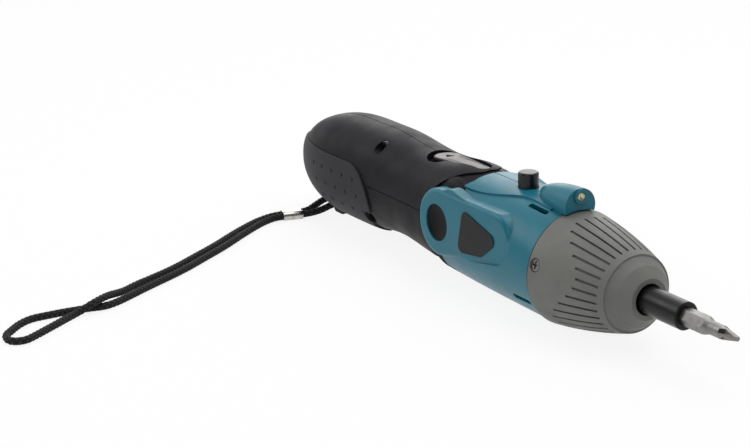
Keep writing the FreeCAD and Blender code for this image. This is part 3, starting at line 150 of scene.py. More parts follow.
# %% [markdown]
# ## The paper
# The tool was photographed in a white tent: light comes softly from all round, most of it from
# above, and the ground is white paper. A large plane is the paper. For the camera most of its
# brightness is its own, as white paper that is lit from below has, and the rest is real light, so
# the soft shadow under the tool stays. Mirror-like and clear surfaces see the same white.

# %% The paper
PAPER_GLOW = 0.88
FLOOR_SIZE = 6.0


def white_paper():
    """Matt white paper that looks white to the camera and still takes a shadow."""
    finish = bpy.data.materials.new("white_paper_matt")
    finish.use_nodes = True
    shader = finish.node_tree.nodes[SHADER]
    fill(finish, shader, {"Base Color": linear("#f4f4f4"), "Roughness": 0.9})
    path = add(finish, "LightPath").outputs
    direct = add(finish, "Math", {0: path["Is Camera Ray"], 1: path["Is Glossy Ray"]}, operation="MAXIMUM")
    seen = add(finish, "Math", {0: direct, 1: path["Is Transmission Ray"]}, operation="MAXIMUM")
    share = add(finish, "Math", {0: seen, 1: PAPER_GLOW}, operation="MULTIPLY")
    glow = add(finish, "Emission", {"Color": (1, 1, 1, 1), "Strength": 1.0})
    both = add(finish, "MixShader", {0: share, 1: shader, 2: glow})
    fill(finish, finish.node_tree.nodes["Material Output"], {"Surface": both})
    return finish


bpy.ops.mesh.primitive_plane_add(size=FLOOR_SIZE, location=(0, 0, 0))
floor = bpy.context.object
floor.name = "paper_floor"
floor.data.materials.append(white_paper())
print("floor:", tuple(round(s, 2) for s in floor.dimensions))

# %% [markdown]
# ## The tent and its lamps
# The far wall and the roof of the tent are bright, and the wall on the camera's side is darker, so
# curved pieces get a light side and a dark side. A picture of a room could light the scene as well;
# here a dot product of the ray's way with the bright wall's way is enough. The camera and clear
# pieces see plain white. Four square lamps stand for the softboxes, the strongest one overhead.

# %% The tent and its lamps
BRIGHT_WALL_WAY = (-0.62, 0.55, 0.56)
DARK_WALL = 0.16
SOFT_SHARE = 0.55
LAMPS = [
    # name, place, point it faces, side of the square, watts
    ("softbox_above", (0.05, 0.25, 1.05), (0.0, 0.0, 0.03), 0.9, 6.5),
    ("softbox_front", (0.75, -0.95, 0.70), (0.0, -0.02, 0.03), 0.7, 3.6),
    ("softbox_left", (-0.85, -0.75, 0.75), (-0.05, -0.05, 0.02), 0.6, 2.8),
    ("softbox_behind", (-1.15, 0.80, 0.62), (0.0, 0.0, 0.03), 0.9, 3.8),
]
tent = bpy.data.worlds.new("white_tent")
scene.world = tent
tent.use_nodes = True
rays = add(tent, "LightPath").outputs
ray_way = add(tent, "TexCoord").outputs["Generated"]
behind = add(tent, "VectorMath", {0: ray_way, 1: BRIGHT_WALL_WAY}, operation="DOT_PRODUCT")
tent_wall = add(tent, "MapRange", {
    "Value": behind, "From Min": -0.3, "From Max": 0.6, "To Min": DARK_WALL, "To Max": 1.0})
soft_light = add(tent, "Math", {0: tent_wall, 1: SOFT_SHARE}, operation="MULTIPLY")
lit = add(tent, "Mix", {0: rays["Is Glossy Ray"], 2: soft_light, 3: tent_wall})
seen = add(tent, "Math", {0: rays["Is Camera Ray"], 1: rays["Is Transmission Ray"]}, operation="MAXIMUM")
level = add(tent, "Mix", {0: seen, 2: lit, 3: 1.0})
fill(tent, tent.node_tree.nodes["Background"], {"Color": (1, 1, 1, 1), "Strength": level})

for name, place, target, side, watts in LAMPS:
    facing = (Vector(target) - Vector(place)).to_track_quat("-Z", "Y").to_euler()
    bpy.ops.object.light_add(type="AREA", location=place, rotation=facing)
    lamp = bpy.context.object
    lamp.name = name
    lamp.data.size = side
    lamp.data.energy = watts
print("lamps:", [row[0] for row in LAMPS])

# %% [markdown]
# ## The wrist strap's line
# The strap is black plaited cord in two loops that meet in a crimped sleeve. The short one, the tie,
# goes through the eyelet under the handle. The long one lies on the table with its strands side by
# side, crosses itself and opens into a round end. Each loop is a smooth NURBS curve. The lists give
# its control points in millimetres: they follow the CAD model's route, moved by a few millimetres
# to lie as the strap in the picture does, and the curve passes near them rather than through them.
# Endpoint and order are set after the points, or Blender keeps straight runs.

# %% The strap's route
CORD_DIAMETER = 3.0
STRAP_HEIGHT = 1.65
SLEEVE_CENTRE = (-131.4, -25.0)
SLEEVE_HEIGHT = 2.08
SLEEVE_TURN = math.radians(255.2)
SLEEVE_WAY = (math.cos(SLEEVE_TURN), math.sin(SLEEVE_TURN))
STRAND_HALF = 1.7
STRAND_LEAD = 7.0
LOOP_STEPS = 30
TIE_STEPS = 20
STRAP_RUN = [
    # x and y of the line between the two strands, and how far each strand lies from it
    (-131.3, -40.5, 1.7), (-126.0, -49.5, 1.9), (-118.2, -61.0, 2.1), (-109.0, -73.5, 2.2),
    (-100.0, -87.8, 2.3), (-91.0, -101.8, 2.4), (-84.6, -114.4, 2.6), (-78.9, -126.3, 3.0),
]
STRAP_OVER = [
    # x, y and z of the strand that passes over the other at the crossing
    (-77.6, -134.0, STRAP_HEIGHT), (-72.6, -140.0, 3.2), (-67.6, -146.0, 4.9), (-63.0, -153.8, 4.9),
    (-62.8, -158.6, 3.0), (-63.0, -162.4, STRAP_HEIGHT),
]
STRAP_END = [
    # x and y of the round end and of the way back under the crossing
    (-58.6, -169.5), (-52.8, -178.6), (-48.2, -186.0), (-45.2, -191.4), (-47.4, -196.8), (-54.4, -196.0),
    (-58.6, -191.6), (-64.0, -186.0), (-67.4, -179.6), (-67.4, -173.0), (-67.4, -166.4), (-66.8, -160.0),
    (-66.2, -154.6), (-64.6, -148.6), (-66.8, -142.0), (-70.8, -134.6),
]
TIE_POINTS = [
    # x, y and z of the tie, from the sleeve through the eyelet and back
    (-126.5, -12.2, 3.2), (-127.0, -5.6, 5.0), (-127.1, 5.4, 5.2), (-130.6, 9.6, 5.0),
    (-135.6, 9.0, 4.8), (-138.0, 3.6, 4.8), (-137.6, -3.6, 4.6), (-135.0, -10.4, 3.2),
]


def sleeve_point(along, across):
    """A point of a strand in the sleeve, from the sleeve's middle."""
    x = SLEEVE_CENTRE[0] + SLEEVE_WAY[0] * along + SLEEVE_WAY[1] * across
    y = SLEEVE_CENTRE[1] + SLEEVE_WAY[1] * along - SLEEVE_WAY[0] * across
    return (x, y, SLEEVE_HEIGHT)


def strand(side):
    """One of the two strands that lie side by side, from the sleeve to the crossing."""
    points = [sleeve_point(0, side * STRAND_HALF), sleeve_point(STRAND_LEAD, side * STRAND_HALF)]
    middle = [sleeve_point(STRAND_LEAD, 0)] + STRAP_RUN + [STRAP_RUN[-1]]
    for before, here, after in zip(middle, STRAP_RUN, middle[2:]):
        way = Vector((after[0] - before[0], after[1] - before[1])).normalized()
        shift = here[2] * side
        points.append((here[0] + way.y * shift, here[1] - way.x * shift, STRAP_HEIGHT))
    return points


def spline_points(name, route, steps):
    """The points of a smooth NURBS curve with the route as its control points, in metres."""
    line = bpy.data.curves.new(name, "CURVE")
    line.dimensions = "3D"
    run = line.splines.new("NURBS")
    run.points.add(len(route) - 1)
    for point, place in zip(run.points, route):
        point.co = [c * MM for c in place] + [1.0]
    run.order_u = 3
    run.use_endpoint_u = True
    run.resolution_u = steps
    carrier = bpy.data.objects.new(name, line)
    mesh = bpy.data.meshes.new_from_object(carrier)
    points = [vertex.co.copy() for vertex in mesh.vertices]
    bpy.data.objects.remove(carrier)
    bpy.data.curves.remove(line)
    bpy.data.meshes.remove(mesh)
    return points


def length_of(points):
    """The length of a line through points."""
    return sum((b - a).length for a, b in zip(points, points[1:]))


long_loop = strand(1) + STRAP_OVER + [(x, y, STRAP_HEIGHT) for x, y in STRAP_END] + strand(-1)[::-1]
short_loop = (
    [sleeve_point(0, -STRAND_HALF), sleeve_point(-STRAND_LEAD, -STRAND_HALF)] + TIE_POINTS
    + [sleeve_point(-STRAND_LEAD, STRAND_HALF), sleeve_point(0, STRAND_HALF)]
)
loop_line = spline_points("strap_loop_line", long_loop, LOOP_STEPS)
tie_line = spline_points("strap_tie_line", short_loop, TIE_STEPS)
loop_length = length_of(loop_line)
tie_length = length_of(tie_line)
print("loop:", round(loop_length / MM, 1), "mm, tie:", round(tie_length / MM, 1), "mm")

# %% [markdown]
# ## The plait
# Up close the cord is a round plait: two sets of yarns wind round it in opposite ways and pass
# over and under each other, so its surface is a net of small slanted pillows. A smooth tube with a
# bump map would show a smooth edge, and the real cord's edge is knobbly, so the pillows are in the
# mesh. Rings of points are set square to the line, and each point moves in or out by the pillow
# that it is on. The UV map runs along and round the cord, for the yarn's own fibres.

# %% Plaited cord
YARNS = 4
PLAIT_STEP = 2.3 * MM
PILLOW = 0.40 * MM
PILLOW_ROUNDNESS = 0.7
PILLOW_END = 0.62
YARN_TOP = 1.62 * MM
CORD_SIDES = 32
CORD_GIRTH = math.pi * CORD_DIAMETER * MM


def pillow(along, round_turn):
    """How high the plait stands at a place on the cord, from 0 in the gaps to 1 on a yarn."""
    left = YARNS * round_turn + along / PLAIT_STEP
    right = YARNS * round_turn - along / PLAIT_STEP
    left_cell, right_cell = math.floor(left), math.floor(right)
    across, length = left - left_cell, right - right_cell
    if (left_cell + right_cell) % 2:
        across, length = length, across
    ridge = math.sin(math.pi * across) ** PILLOW_ROUNDNESS
    return ridge * (PILLOW_END + (1 - PILLOW_END) * math.sin(math.pi * length))


def cord_rings(points):
    """Rings of points round a line, with the UV place and the pillow height of each point."""
    neighbours = zip(points[:1] + points, points[1:] + points[-1:])
    ways = [(after - before).normalized() for before, after in neighbours]
    side = ways[0].cross(Vector((0, 0, 1))).normalized()
    verts, uvs, heights, along = [], [], [], 0.0
    for index, (place, way) in enumerate(zip(points, ways)):
        if index:
            along += (place - points[index - 1]).length
            side = (side - way * side.dot(way)).normalized()
        up = side.cross(way)
        for step in range(CORD_SIDES):
            turn = step / CORD_SIDES
            heights.append(pillow(along, turn))
            radius = YARN_TOP - PILLOW * (1 - heights[-1])
            angle = 2 * math.pi * turn
            verts.append(place + side * radius * math.cos(angle) + up * radius * math.sin(angle))
            uvs.append((along, turn * CORD_GIRTH))
    return verts, uvs, heights


def cord_faces(ring_count):
    """The faces between rings, and a cap at each end."""
    faces = []
    for ring in range(ring_count - 1):
        for step in range(CORD_SIDES):
            here = ring * CORD_SIDES + step
            beside = ring * CORD_SIDES + (step + 1) % CORD_SIDES
            faces.append((here, beside, beside + CORD_SIDES, here + CORD_SIDES))
    first_cap = tuple(reversed(range(CORD_SIDES)))
    last_cap = tuple(range((ring_count - 1) * CORD_SIDES, ring_count * CORD_SIDES))
    return faces + [first_cap, last_cap]


def lay_chart(mesh, uvs):
    """The UV map along and round the cord, whose last strip ends at the girth and not at 0."""
    chart = mesh.uv_layers.new(name="yarn")
    for face in mesh.polygons:
        last_strip = len(face.vertices) == 4 and face.index % CORD_SIDES == CORD_SIDES - 1
        for corner in face.loop_indices:
            along, round_here = uvs[mesh.loops[corner].vertex_index]
            chart.data[corner].uv = (along, CORD_GIRTH if last_strip and round_here == 0 else round_here)


def pick(piece):
    """Makes a piece the selected and active one."""
    bpy.ops.object.select_all(action="DESELECT")
    piece.select_set(True)
    bpy.context.view_layer.objects.active = piece


def plaited_cord(name, points):
    """A closed tube with a plaited surface that follows the points."""
    verts, uvs, heights = cord_rings(points)
    mesh = bpy.data.meshes.new(name)
    mesh.from_pydata(verts, [], cord_faces(len(points)))
    mesh.attributes.new("plait", "FLOAT", "POINT").data.foreach_set("value", heights)
    lay_chart(mesh, uvs)
    piece = bpy.data.objects.new(name, mesh)
    scene.collection.objects.link(piece)
    pick(piece)
    bpy.ops.object.mode_set(mode="EDIT")
    bpy.ops.mesh.select_all(action="SELECT")
    bpy.ops.mesh.normals_make_consistent(inside=False)
    bpy.ops.object.mode_set(mode="OBJECT")
    bpy.ops.object.shade_smooth()
    return piece


strap = plaited_cord("wrist_strap_loop", loop_line)
tie = plaited_cord("wrist_strap_tie", tie_line)
print("cords:", len(strap.data.polygons), "and", len(tie.data.polygons), "faces")

# %% [markdown]
# ## The crimped sleeve
# A short nickel-plated tube holds the four cord ends. It was squeezed in pliers, so its section is
# an 8 lying down: round over each strand, with a crease between them. It starts as a tube without
# ends whose edges are subdivided. Its two halves are drawn apart sideways, the middle line is
# pressed in from above and below, and Solidify and Bevel give it its wall and its rolled lips.

# %% Crimped sleeve
SLEEVE_LENGTH = 9.0
SLEEVE_HALF_HEIGHT = 2.07
SLEEVE_WALL = 0.42
LIP_WIDTH = 0.12
HALF_FROM = 0.01
CREASE_DEPTH = 0.45
CREASE_HALF_WIDTH = 0.2


def select_where(piece, test):
    """Selects the vertices whose place passes the test, and goes into edit mode."""
    if bpy.context.mode != "OBJECT":
        bpy.ops.object.mode_set(mode="OBJECT")
    for part in (piece.data.polygons, piece.data.edges):
        part.foreach_set("select", [False] * len(part))
    for vertex in piece.data.vertices:
        vertex.select = test(vertex.co)
    bpy.ops.object.mode_set(mode="EDIT")
    bpy.ops.mesh.select_mode(type="VERT")


bpy.ops.object.select_all(action="DESELECT")
bpy.ops.mesh.primitive_cylinder_add(
    vertices=64, radius=SLEEVE_HALF_HEIGHT * MM, depth=SLEEVE_LENGTH * MM, end_fill_type="NOTHING",
    rotation=(0, math.pi / 2, 0))
sleeve = bpy.context.object
sleeve.name = "strap_crimped_sleeve"
bpy.ops.object.transform_apply(location=True, rotation=True, scale=True)
bpy.ops.object.mode_set(mode="EDIT")
bpy.ops.mesh.select_all(action="SELECT")
bpy.ops.mesh.subdivide(number_cuts=5)
for side in (-1, 1):
    select_where(sleeve, lambda place: place.y * side > HALF_FROM * MM)
    bpy.ops.transform.translate(value=(0, side * STRAND_HALF * MM, 0))
for upward in (-1, 1):
    select_where(sleeve, lambda place: abs(place.y) < CREASE_HALF_WIDTH * MM and place.z * upward > 0)
    bpy.ops.transform.translate(value=(0, 0, -upward * CREASE_DEPTH * MM))
bpy.ops.object.mode_set(mode="OBJECT")
tube_wall = sleeve.modifiers.new("tube_wall", "SOLIDIFY")
tube_wall.thickness = SLEEVE_WALL * MM
lips = sleeve.modifiers.new("lips", "BEVEL")
lips.width = LIP_WIDTH * MM
lips.segments = 2
lips.angle_limit = math.radians(50)
for modifier in ("tube_wall", "lips"):
    bpy.ops.object.modifier_apply(modifier=modifier)
sleeve.rotation_euler = (0, 0, SLEEVE_TURN)
sleeve.location = (SLEEVE_CENTRE[0] * MM, SLEEVE_CENTRE[1] * MM, SLEEVE_HEIGHT * MM)
bpy.ops.object.transform_apply(location=True, rotation=True, scale=True)
bpy.ops.object.shade_smooth_by_angle(angle=math.radians(40))
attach(sleeve, "handle")
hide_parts("strap_ferrule")
print("sleeve faces:", len(sleeve.data.polygons))

# %% [markdown]
# ## The cords on the handle
# A cord in the picture lies in one of the many ways it could lie. Each loop rides on the handle's
# body in place of the CAD model's strap piece, which is hidden, and its length is printed. Both ends
# of each loop sit in the sleeve, which rides on the handle too.

for piece, node, points, length in (
    (strap, "strap_loop", loop_line, loop_length), (tie, "strap_tie", tie_line, tie_length)
):
    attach(piece, "handle")
    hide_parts(node)
    print(piece.name, "length:", round(length / MM, 1), "mm")

# %% [markdown]
# ## Moulded plastics
# Most of the tool is injection moulded. A mould's walls are etched or spark-eroded, which leaves a
# skin of tiny pits that breaks up reflections; the melt is never quite even, so the colour clouds a
# little; edges are never sharp, and where hands rub they turn paler. Corners take a corner colour:
# on the near-black pieces it is paler, as grey dust, and on the teal, grey, white and ferrite pieces
# it is darker, as painted shade. The Bevel node finds edges without touching the CAD mesh: it gives a
# rounded normal, which is used for the shading, and where it differs from the flat one there is an
# edge. Ambient Occlusion tells the corners apart for the painted dust and shade. The real pits are
# about 0.1 mm wide, too fine for the picture, so they are drawn several times coarser.

# %% Edges, corners and moulded skin
def new_finish(name):
    """A new material, its shader and the Object coordinates."""
    finish = bpy.data.materials.new(name)
    finish.use_nodes = True
    place = add(finish, "TexCoord").outputs["Object"]
    return finish, finish.node_tree.nodes[SHADER], place


def edges_and_corners(finish, place, radius_mm):
    """How far a place is on an outer edge and in a corner, and the normal with soft edges."""
    soft = add(finish, "Bevel", {"Radius": radius_mm * MM}, samples=6)
    flat = add(finish, "NewGeometry").outputs["Normal"]
    same = add(finish, "VectorMath", {0: soft, 1: flat}, operation="DOT_PRODUCT")
    open_air = add(finish, "AmbientOcclusion", {"Distance": 4 * radius_mm * MM}, samples=6).outputs["AO"]
    bend = add(finish, "MapRange", {"Value": same, "From Min": 0.985, "From Max": 0.86})
    clear = add(finish, "MapRange", {"Value": open_air, "From Min": 0.86, "From Max": 0.99})
    rubbed = add(finish, "TexNoise", {"Vector": place, "Scale": every(3.0), "Detail": 3.0})
    patchy = add(finish, "MapRange", {"Value": rubbed, "From Min": 0.38, "From Max": 0.66})
    edge = add(finish, "Math", {0: bend, 1: clear}, operation="MULTIPLY")
    worn = add(finish, "Math", {0: edge, 1: patchy}, operation="MULTIPLY")
    # the share of the corner colour, which is painted shade on the pale pieces and grey dust on the black
    # ones
    corner = add(finish, "MapRange", {"Value": open_air, "From Min": 0.85, "From Max": 0.35})
    return worn, corner, soft


def moulded(
    name, colour, worn_colour, corner_dust_and_shade_colour, roughness, pit_mm, pit_depth_mm, edge_mm=0.3, cloud=0.10,
    specular=0.5,
):
    """An injection-moulded plastic with an etched skin, rubbed edges, and a corner colour: dust where it is
    paler, painted shade where it is darker.
    """
    finish, shader, place = new_finish(name)
    worn, corner, soft = edges_and_corners(finish, place, edge_mm)
    melt = add(finish, "TexNoise", {"Vector": place, "Scale": every(16), "Detail": 4.0, "Roughness": 0.6})
    level = add(finish, "MapRange", {
        "Value": melt, "From Min": 0.3, "From Max": 0.7, "To Min": 1 - cloud, "To Max": 1 + cloud})
    body = add(finish, "HueSaturation", {"Color": linear(colour), "Value": level})
    some_wear = add(finish, "Math", {0: worn, 1: 0.55}, operation="MULTIPLY")
    # painted shade in corners where the corner colour is darker than the body, grey dust where it is paler
    some_dust_and_shade = add(finish, "Math", {0: corner, 1: 0.45}, operation="MULTIPLY")
    dusty_and_shaded = add(finish, "Mix", {0: some_dust_and_shade, 6: body, 7: linear(corner_dust_and_shade_colour)}, data_type="RGBA")
    rubbed = add(finish, "Mix", {0: some_wear, 6: dusty_and_shaded, 7: linear(worn_colour)}, data_type="RGBA")
    pits = add(finish, "TexNoise", {"Vector": place, "Scale": every(pit_mm), "Detail": 2.0, "Roughness": 0.7})
    skin = add(finish, "Bump", {
        "Height": pits, "Distance": pit_depth_mm * MM, "Strength": 1.0, "Normal": soft})
    handled = add(finish, "TexNoise", {"Vector": place, "Scale": every(9), "Detail": 5.0})
    gloss = add(finish, "MapRange", {
        "Value": handled, "From Min": 0.3, "From Max": 0.7,
        "To Min": roughness - 0.06, "To Max": roughness + 0.07})
    fill(finish, shader, {
        "Base Color": rubbed, "Roughness": gloss, "Normal": skin,
        "IOR": 1.5, "Specular IOR Level": specular})
    return finish


finishes = {}
print("moulded skins are drawn with pits of 0.5 mm and more")

# %% [markdown]
# ## Housings and inner plastics
# The handle is charcoal ABS with a fine matt skin that swallows light. The motor housing is teal
# nylon with a finer skin, so the white tent shows on its upper side as a pale sheen. The gear case
# is grey glass-filled nylon: short fibres rise to the skin and make it dry and a little blotchy. The
# lamp's push button is black ABS from a polished mould, so it is the glossiest. Inside, the switches
# and the motor's end cap are black nylon, and the ring gear and first planets are white acetal.

# %% Housings
finishes["handle_plastic"] = moulded(
    "charcoal_abs_etched", "#131217", worn_colour="#37373b", corner_dust_and_shade_colour="#242423", roughness=0.50,
    pit_mm=0.6, pit_depth_mm=0.035, edge_mm=0.35, specular=0.14)
finishes["housing_plastic"] = moulded(
    "teal_nylon_moulded", "#126a7d", worn_colour="#5597a6", corner_dust_and_shade_colour="#0e4655", roughness=0.34,
    pit_mm=0.5, pit_depth_mm=0.012, edge_mm=0.35, cloud=0.07, specular=0.30)
finishes["case_plastic"] = moulded(
    "grey_glass_filled_nylon", "#6f6f6c", worn_colour="#8a8a86", corner_dust_and_shade_colour="#3f3f3d", roughness=0.52,
    pit_mm=0.7, pit_depth_mm=0.030, edge_mm=0.30, cloud=0.12, specular=0.30)
finishes["button_plastic"] = moulded(
    "black_abs_polished", "#0f0f10", worn_colour="#303031", corner_dust_and_shade_colour="#1e1d1c", roughness=0.24,
    pit_mm=0.5, pit_depth_mm=0.004, edge_mm=0.25, cloud=0.05, specular=0.32)
finishes["inner_plastic"] = moulded(
    "black_nylon_plain", "#1b1b1c", worn_colour="#3d3d3d", corner_dust_and_shade_colour="#333231", roughness=0.45,
    pit_mm=0.8, pit_depth_mm=0.015, edge_mm=0.20)
finishes["gear_plastic"] = moulded(
    "white_acetal_moulded", "#dcd9cf", worn_colour="#eeece6", corner_dust_and_shade_colour="#9c9789", roughness=0.34,
    pit_mm=0.9, pit_depth_mm=0.006, edge_mm=0.15, cloud=0.04)
print("plastics:", sorted(finishes))

# %% [markdown]
# ## The rocker
# The drive rocker is black with a grey print on its top: a round end and a strip that runs forward
# from it. The print is thinner than paper, so a second mesh would only lie on the first, and the
# material draws it instead, as a disc and a strip in Object coordinates. The object's own normal
# tells top from side: it turns with the rocker, so the print stays put when the rocker tilts.

# %% Rocker finish
PRINT_DISC = (-39.6, 0.0, 0.0)
PRINT_RADIUS = 5.3
PRINT_STRIP = 2.2
PRINT_EDGE = 0.3
PRINT_FROM_HEIGHT = 44.5
PRINT_FULL_HEIGHT = 45.5


def print_share(finish):
    """How far a place is in the print: a disc and a strip on the faces that look up."""
    where = add(finish, "TexCoord").outputs
    facing = add(finish, "SeparateXYZ", {0: where["Normal"]}).outputs
    place = add(finish, "SeparateXYZ", {0: where["Object"]}).outputs
    top = add(finish, "MapRange", {"Value": facing["Z"], "From Min": 0.80, "From Max": 0.93})
    high = add(finish, "MapRange", {
        "Value": place["Z"], "From Min": PRINT_FROM_HEIGHT * MM, "From Max": PRINT_FULL_HEIGHT * MM})
    from_disc = add(finish, "VectorMath", {
        0: where["Object"], 1: [c * MM for c in PRINT_DISC]}, operation="SUBTRACT")
    flat = add(finish, "VectorMath", {0: from_disc, 1: (1, 1, 0)}, operation="MULTIPLY")
    away = add(finish, "VectorMath", {0: flat}, operation="LENGTH")
    disc = add(finish, "MapRange", {
        "Value": away, "From Min": PRINT_RADIUS * MM,
        "From Max": (PRINT_RADIUS - PRINT_EDGE) * MM})
    offside = add(finish, "Math", {0: place["Y"]}, operation="ABSOLUTE")
    strip = add(finish, "MapRange", {
        "Value": offside, "From Min": PRINT_STRIP * MM, "From Max": (PRINT_STRIP - PRINT_EDGE) * MM})
    ahead = add(finish, "Math", {0: place["X"], 1: PRINT_DISC[0] * MM}, operation="GREATER_THAN")
    tail = add(finish, "Math", {0: strip, 1: ahead}, operation="MULTIPLY")
    shape = add(finish, "Math", {0: disc, 1: tail}, operation="MAXIMUM")
    upper = add(finish, "Math", {0: top, 1: high}, operation="MULTIPLY")
    return add(finish, "Math", {0: upper, 1: shape}, operation="MULTIPLY")


def rocker_finish():
    """Black ABS with a grey satin print on its top."""
    finish = moulded(
        "rocker_abs_grey_top", "#161617", worn_colour="#3e3e3f", corner_dust_and_shade_colour="#2c2b2a", roughness=0.40,
        pit_mm=0.5, pit_depth_mm=0.010, edge_mm=0.25, specular=0.16)
    shader = finish.node_tree.nodes[SHADER]
    black = shader.inputs["Base Color"].links[0].from_socket
    place = add(finish, "TexCoord").outputs["Object"]
    speck = add(finish, "TexNoise", {"Vector": place, "Scale": every(1.2), "Detail": 4.0})
    grey = add(finish, "Mix", {0: speck, 6: linear("#6b6765"), 7: linear("#7f7b78")}, data_type="RGBA")
    colour = add(finish, "Mix", {0: print_share(finish), 6: black, 7: grey}, data_type="RGBA")
    fill(finish, shader, {"Base Color": colour})
    return finish


finishes["rocker_plastic"] = rocker_finish()
print("rocker:", finishes["rocker_plastic"].name)

# %% [markdown]
# ## Soft grip
# The side panels are thermoplastic rubber moulded over the handle. Rubber scatters light just under
# its skin, so it looks softer than the hard plastic, with a dust-like sheen at a slant. Small dimples
# in slanting rows give the fingers hold. The dimples are pressed into the mesh further down; here the
# material paints shade on their floors, and paints shade into the panel's corners. Two dot products
# turn a place into rows and columns, and the distance to the nearest dimple's middle gives the share
# of the painted shade.

# %% Soft grip finish
DIMPLE_STEP = 8.5
DIMPLE_ROW = 7.0
DIMPLE_SLANT = 2.5
DIMPLE_START = (-108.5, 29.6)
DIMPLE_SHADE_RADIUS = 1.5
PANEL_MIDDLE = (-98.0, 21.5)
PANEL_REACH = (24.0, 14.5)


def dimple_shade_share(finish, place):
    """The share of painted shade at a place: how far it is in the middle of a dimple, inside the panel's
    oval.
    """
    lean = every(DIMPLE_STEP) * DIMPLE_SLANT / DIMPLE_ROW
    column = add(finish, "VectorMath", {0: place, 1: (every(DIMPLE_STEP), 0, lean)}, operation="DOT_PRODUCT")
    row = add(finish, "VectorMath", {0: place, 1: (0, 0, every(DIMPLE_ROW))}, operation="DOT_PRODUCT")
    cell = add(finish, "CombineXYZ", {0: column, 1: row})
    start_row = DIMPLE_START[1] / DIMPLE_ROW
    start_column = (DIMPLE_START[0] + start_row * DIMPLE_SLANT) / DIMPLE_STEP
    moved = add(finish, "VectorMath", {
        0: cell, 1: (0.5 - start_column, 0.5 - start_row, 0)}, operation="ADD")
    nearest = add(finish, "VectorMath", {0: moved}, operation="FRACTION")
    from_middle = add(finish, "VectorMath", {0: nearest, 1: (0.5, 0.5, 0)}, operation="SUBTRACT")
    apart = add(finish, "VectorMath", {
        0: from_middle, 1: (DIMPLE_STEP, DIMPLE_ROW, 0)}, operation="MULTIPLY")
    away = add(finish, "VectorMath", {0: apart}, operation="LENGTH")
    dimple = add(finish, "MapRange", {
        "Value": away, "From Min": DIMPLE_SHADE_RADIUS, "From Max": 0.25 * DIMPLE_SHADE_RADIUS},
        interpolation_type="SMOOTHSTEP")
    centred = add(finish, "VectorMath", {
        0: place, 1: (PANEL_MIDDLE[0] * MM, 0, PANEL_MIDDLE[1] * MM)}, operation="SUBTRACT")
    oval = add(finish, "VectorMath", {
        0: centred, 1: (every(PANEL_REACH[0]), 0, every(PANEL_REACH[1]))}, operation="MULTIPLY")
    out = add(finish, "VectorMath", {0: oval}, operation="LENGTH")
    inside = add(finish, "Math", {0: out, 1: 1.0}, operation="LESS_THAN")
    return add(finish, "Math", {0: dimple, 1: inside}, operation="MULTIPLY")


def soft_grip_finish():
    """Matt thermoplastic rubber with painted shade in its dimples and corners."""
    finish, shader, place = new_finish("charcoal_tpe_soft_grip")
    corner, soft = edges_and_corners(finish, place, 0.35)[1:]
    bloom = add(finish, "TexNoise", {"Vector": place, "Scale": every(11), "Detail": 5.0, "Roughness": 0.65})
    rubber = add(finish, "Mix", {0: bloom, 6: linear("#211f24"), 7: linear("#2a272d")}, data_type="RGBA")
    # painted shade in the panel's corners, a colour darker than the rubber
    some_dust_and_shade = add(finish, "Math", {0: corner, 1: 0.4}, operation="MULTIPLY")
    dusty_and_shaded = add(finish, "Mix", {0: some_dust_and_shade, 6: rubber, 7: linear("#1a191b")}, data_type="RGBA")
    # painted shade on the floors of the dimples
    colour = add(finish, "Mix", {
        0: dimple_shade_share(finish, place), 6: dusty_and_shaded, 7: linear("#131214")}, data_type="RGBA")
    pits = add(finish, "TexNoise", {"Vector": place, "Scale": every(0.7), "Detail": 2.0})
    skin = add(finish, "Bump", {"Height": pits, "Distance": 0.04 * MM, "Strength": 1.0, "Normal": soft})
    fill(finish, shader, {
        "Base Color": colour, "Normal": skin, "Roughness": 0.68, "IOR": 1.48,
        "Specular IOR Level": 0.32, "Sheen Weight": 0.05, "Sheen Roughness": 0.5})
    return finish


finishes["soft_rubber"] = soft_grip_finish()
print("dimples every", DIMPLE_STEP, "by", DIMPLE_ROW, "mm")

# %% [markdown]
# ## Side plate and battery film
# The plate on the side is plain black polyester film. Film is smoother than the moulding round it
# but has a faint orange-peel, which makes its reflection wavy. The sleeve round the cells is thin
# PVC film with longer waves, as shrinking leaves them. A noise that is stretched along one axis
# gives both, through the bump and the colour.

# %% Film finishes
def film(name, colour, pale, roughness, peel_mm, peel_depth_mm, stretch):
    """A plastic film with orange-peel or wrinkles, longer one way by the stretch."""
    finish, shader, place = new_finish(name)
    laid = add(finish, "Mapping", {"Vector": place, "Scale": (1 / stretch, 1, 1)})
    peel = add(finish, "TexNoise", {"Vector": laid, "Scale": every(peel_mm), "Detail": 3.0})
    colours = add(finish, "Mix", {0: peel, 6: linear(colour), 7: linear(pale)}, data_type="RGBA")
    skin = add(finish, "Bump", {"Height": peel, "Distance": peel_depth_mm * MM, "Strength": 1.0})
    smear = add(finish, "TexNoise", {"Vector": place, "Scale": every(5.0), "Detail": 5.0})
    gloss = add(finish, "MapRange", {
        "Value": smear, "To Min": roughness - 0.08, "To Max": roughness + 0.10})
    fill(finish, shader, {
        "Base Color": colours, "Roughness": gloss, "Normal": skin,
        "IOR": 1.54, "Specular IOR Level": 0.15})
    return finish


finishes["label_plastic"] = film(
    "black_polyester_film", "#0d0d0e", "#151516", roughness=0.36, peel_mm=1.6, peel_depth_mm=0.006,
    stretch=1.0)
finishes["film"] = film(
    "blue_pvc_shrink_film", "#1f3f6e", "#2b5288", roughness=0.28, peel_mm=4.0, peel_depth_mm=0.050,
    stretch=5.0)
print("films:", finishes["label_plastic"].name, finishes["film"].name)

# %% [markdown]
# ## Metals
# Turned and ground metal carries fine lines left by the tool, which stretch its highlights; plated
# metal is smoother and only wavy. One recipe makes them all: lines are a noise squeezed along one
# axis, stains change the colour and the roughness, and edges are rubbed bright. Lines on the real
# pieces are some hundredths of a millimetre apart; they are drawn at a few tenths and more, so that
# the picture can hold them.

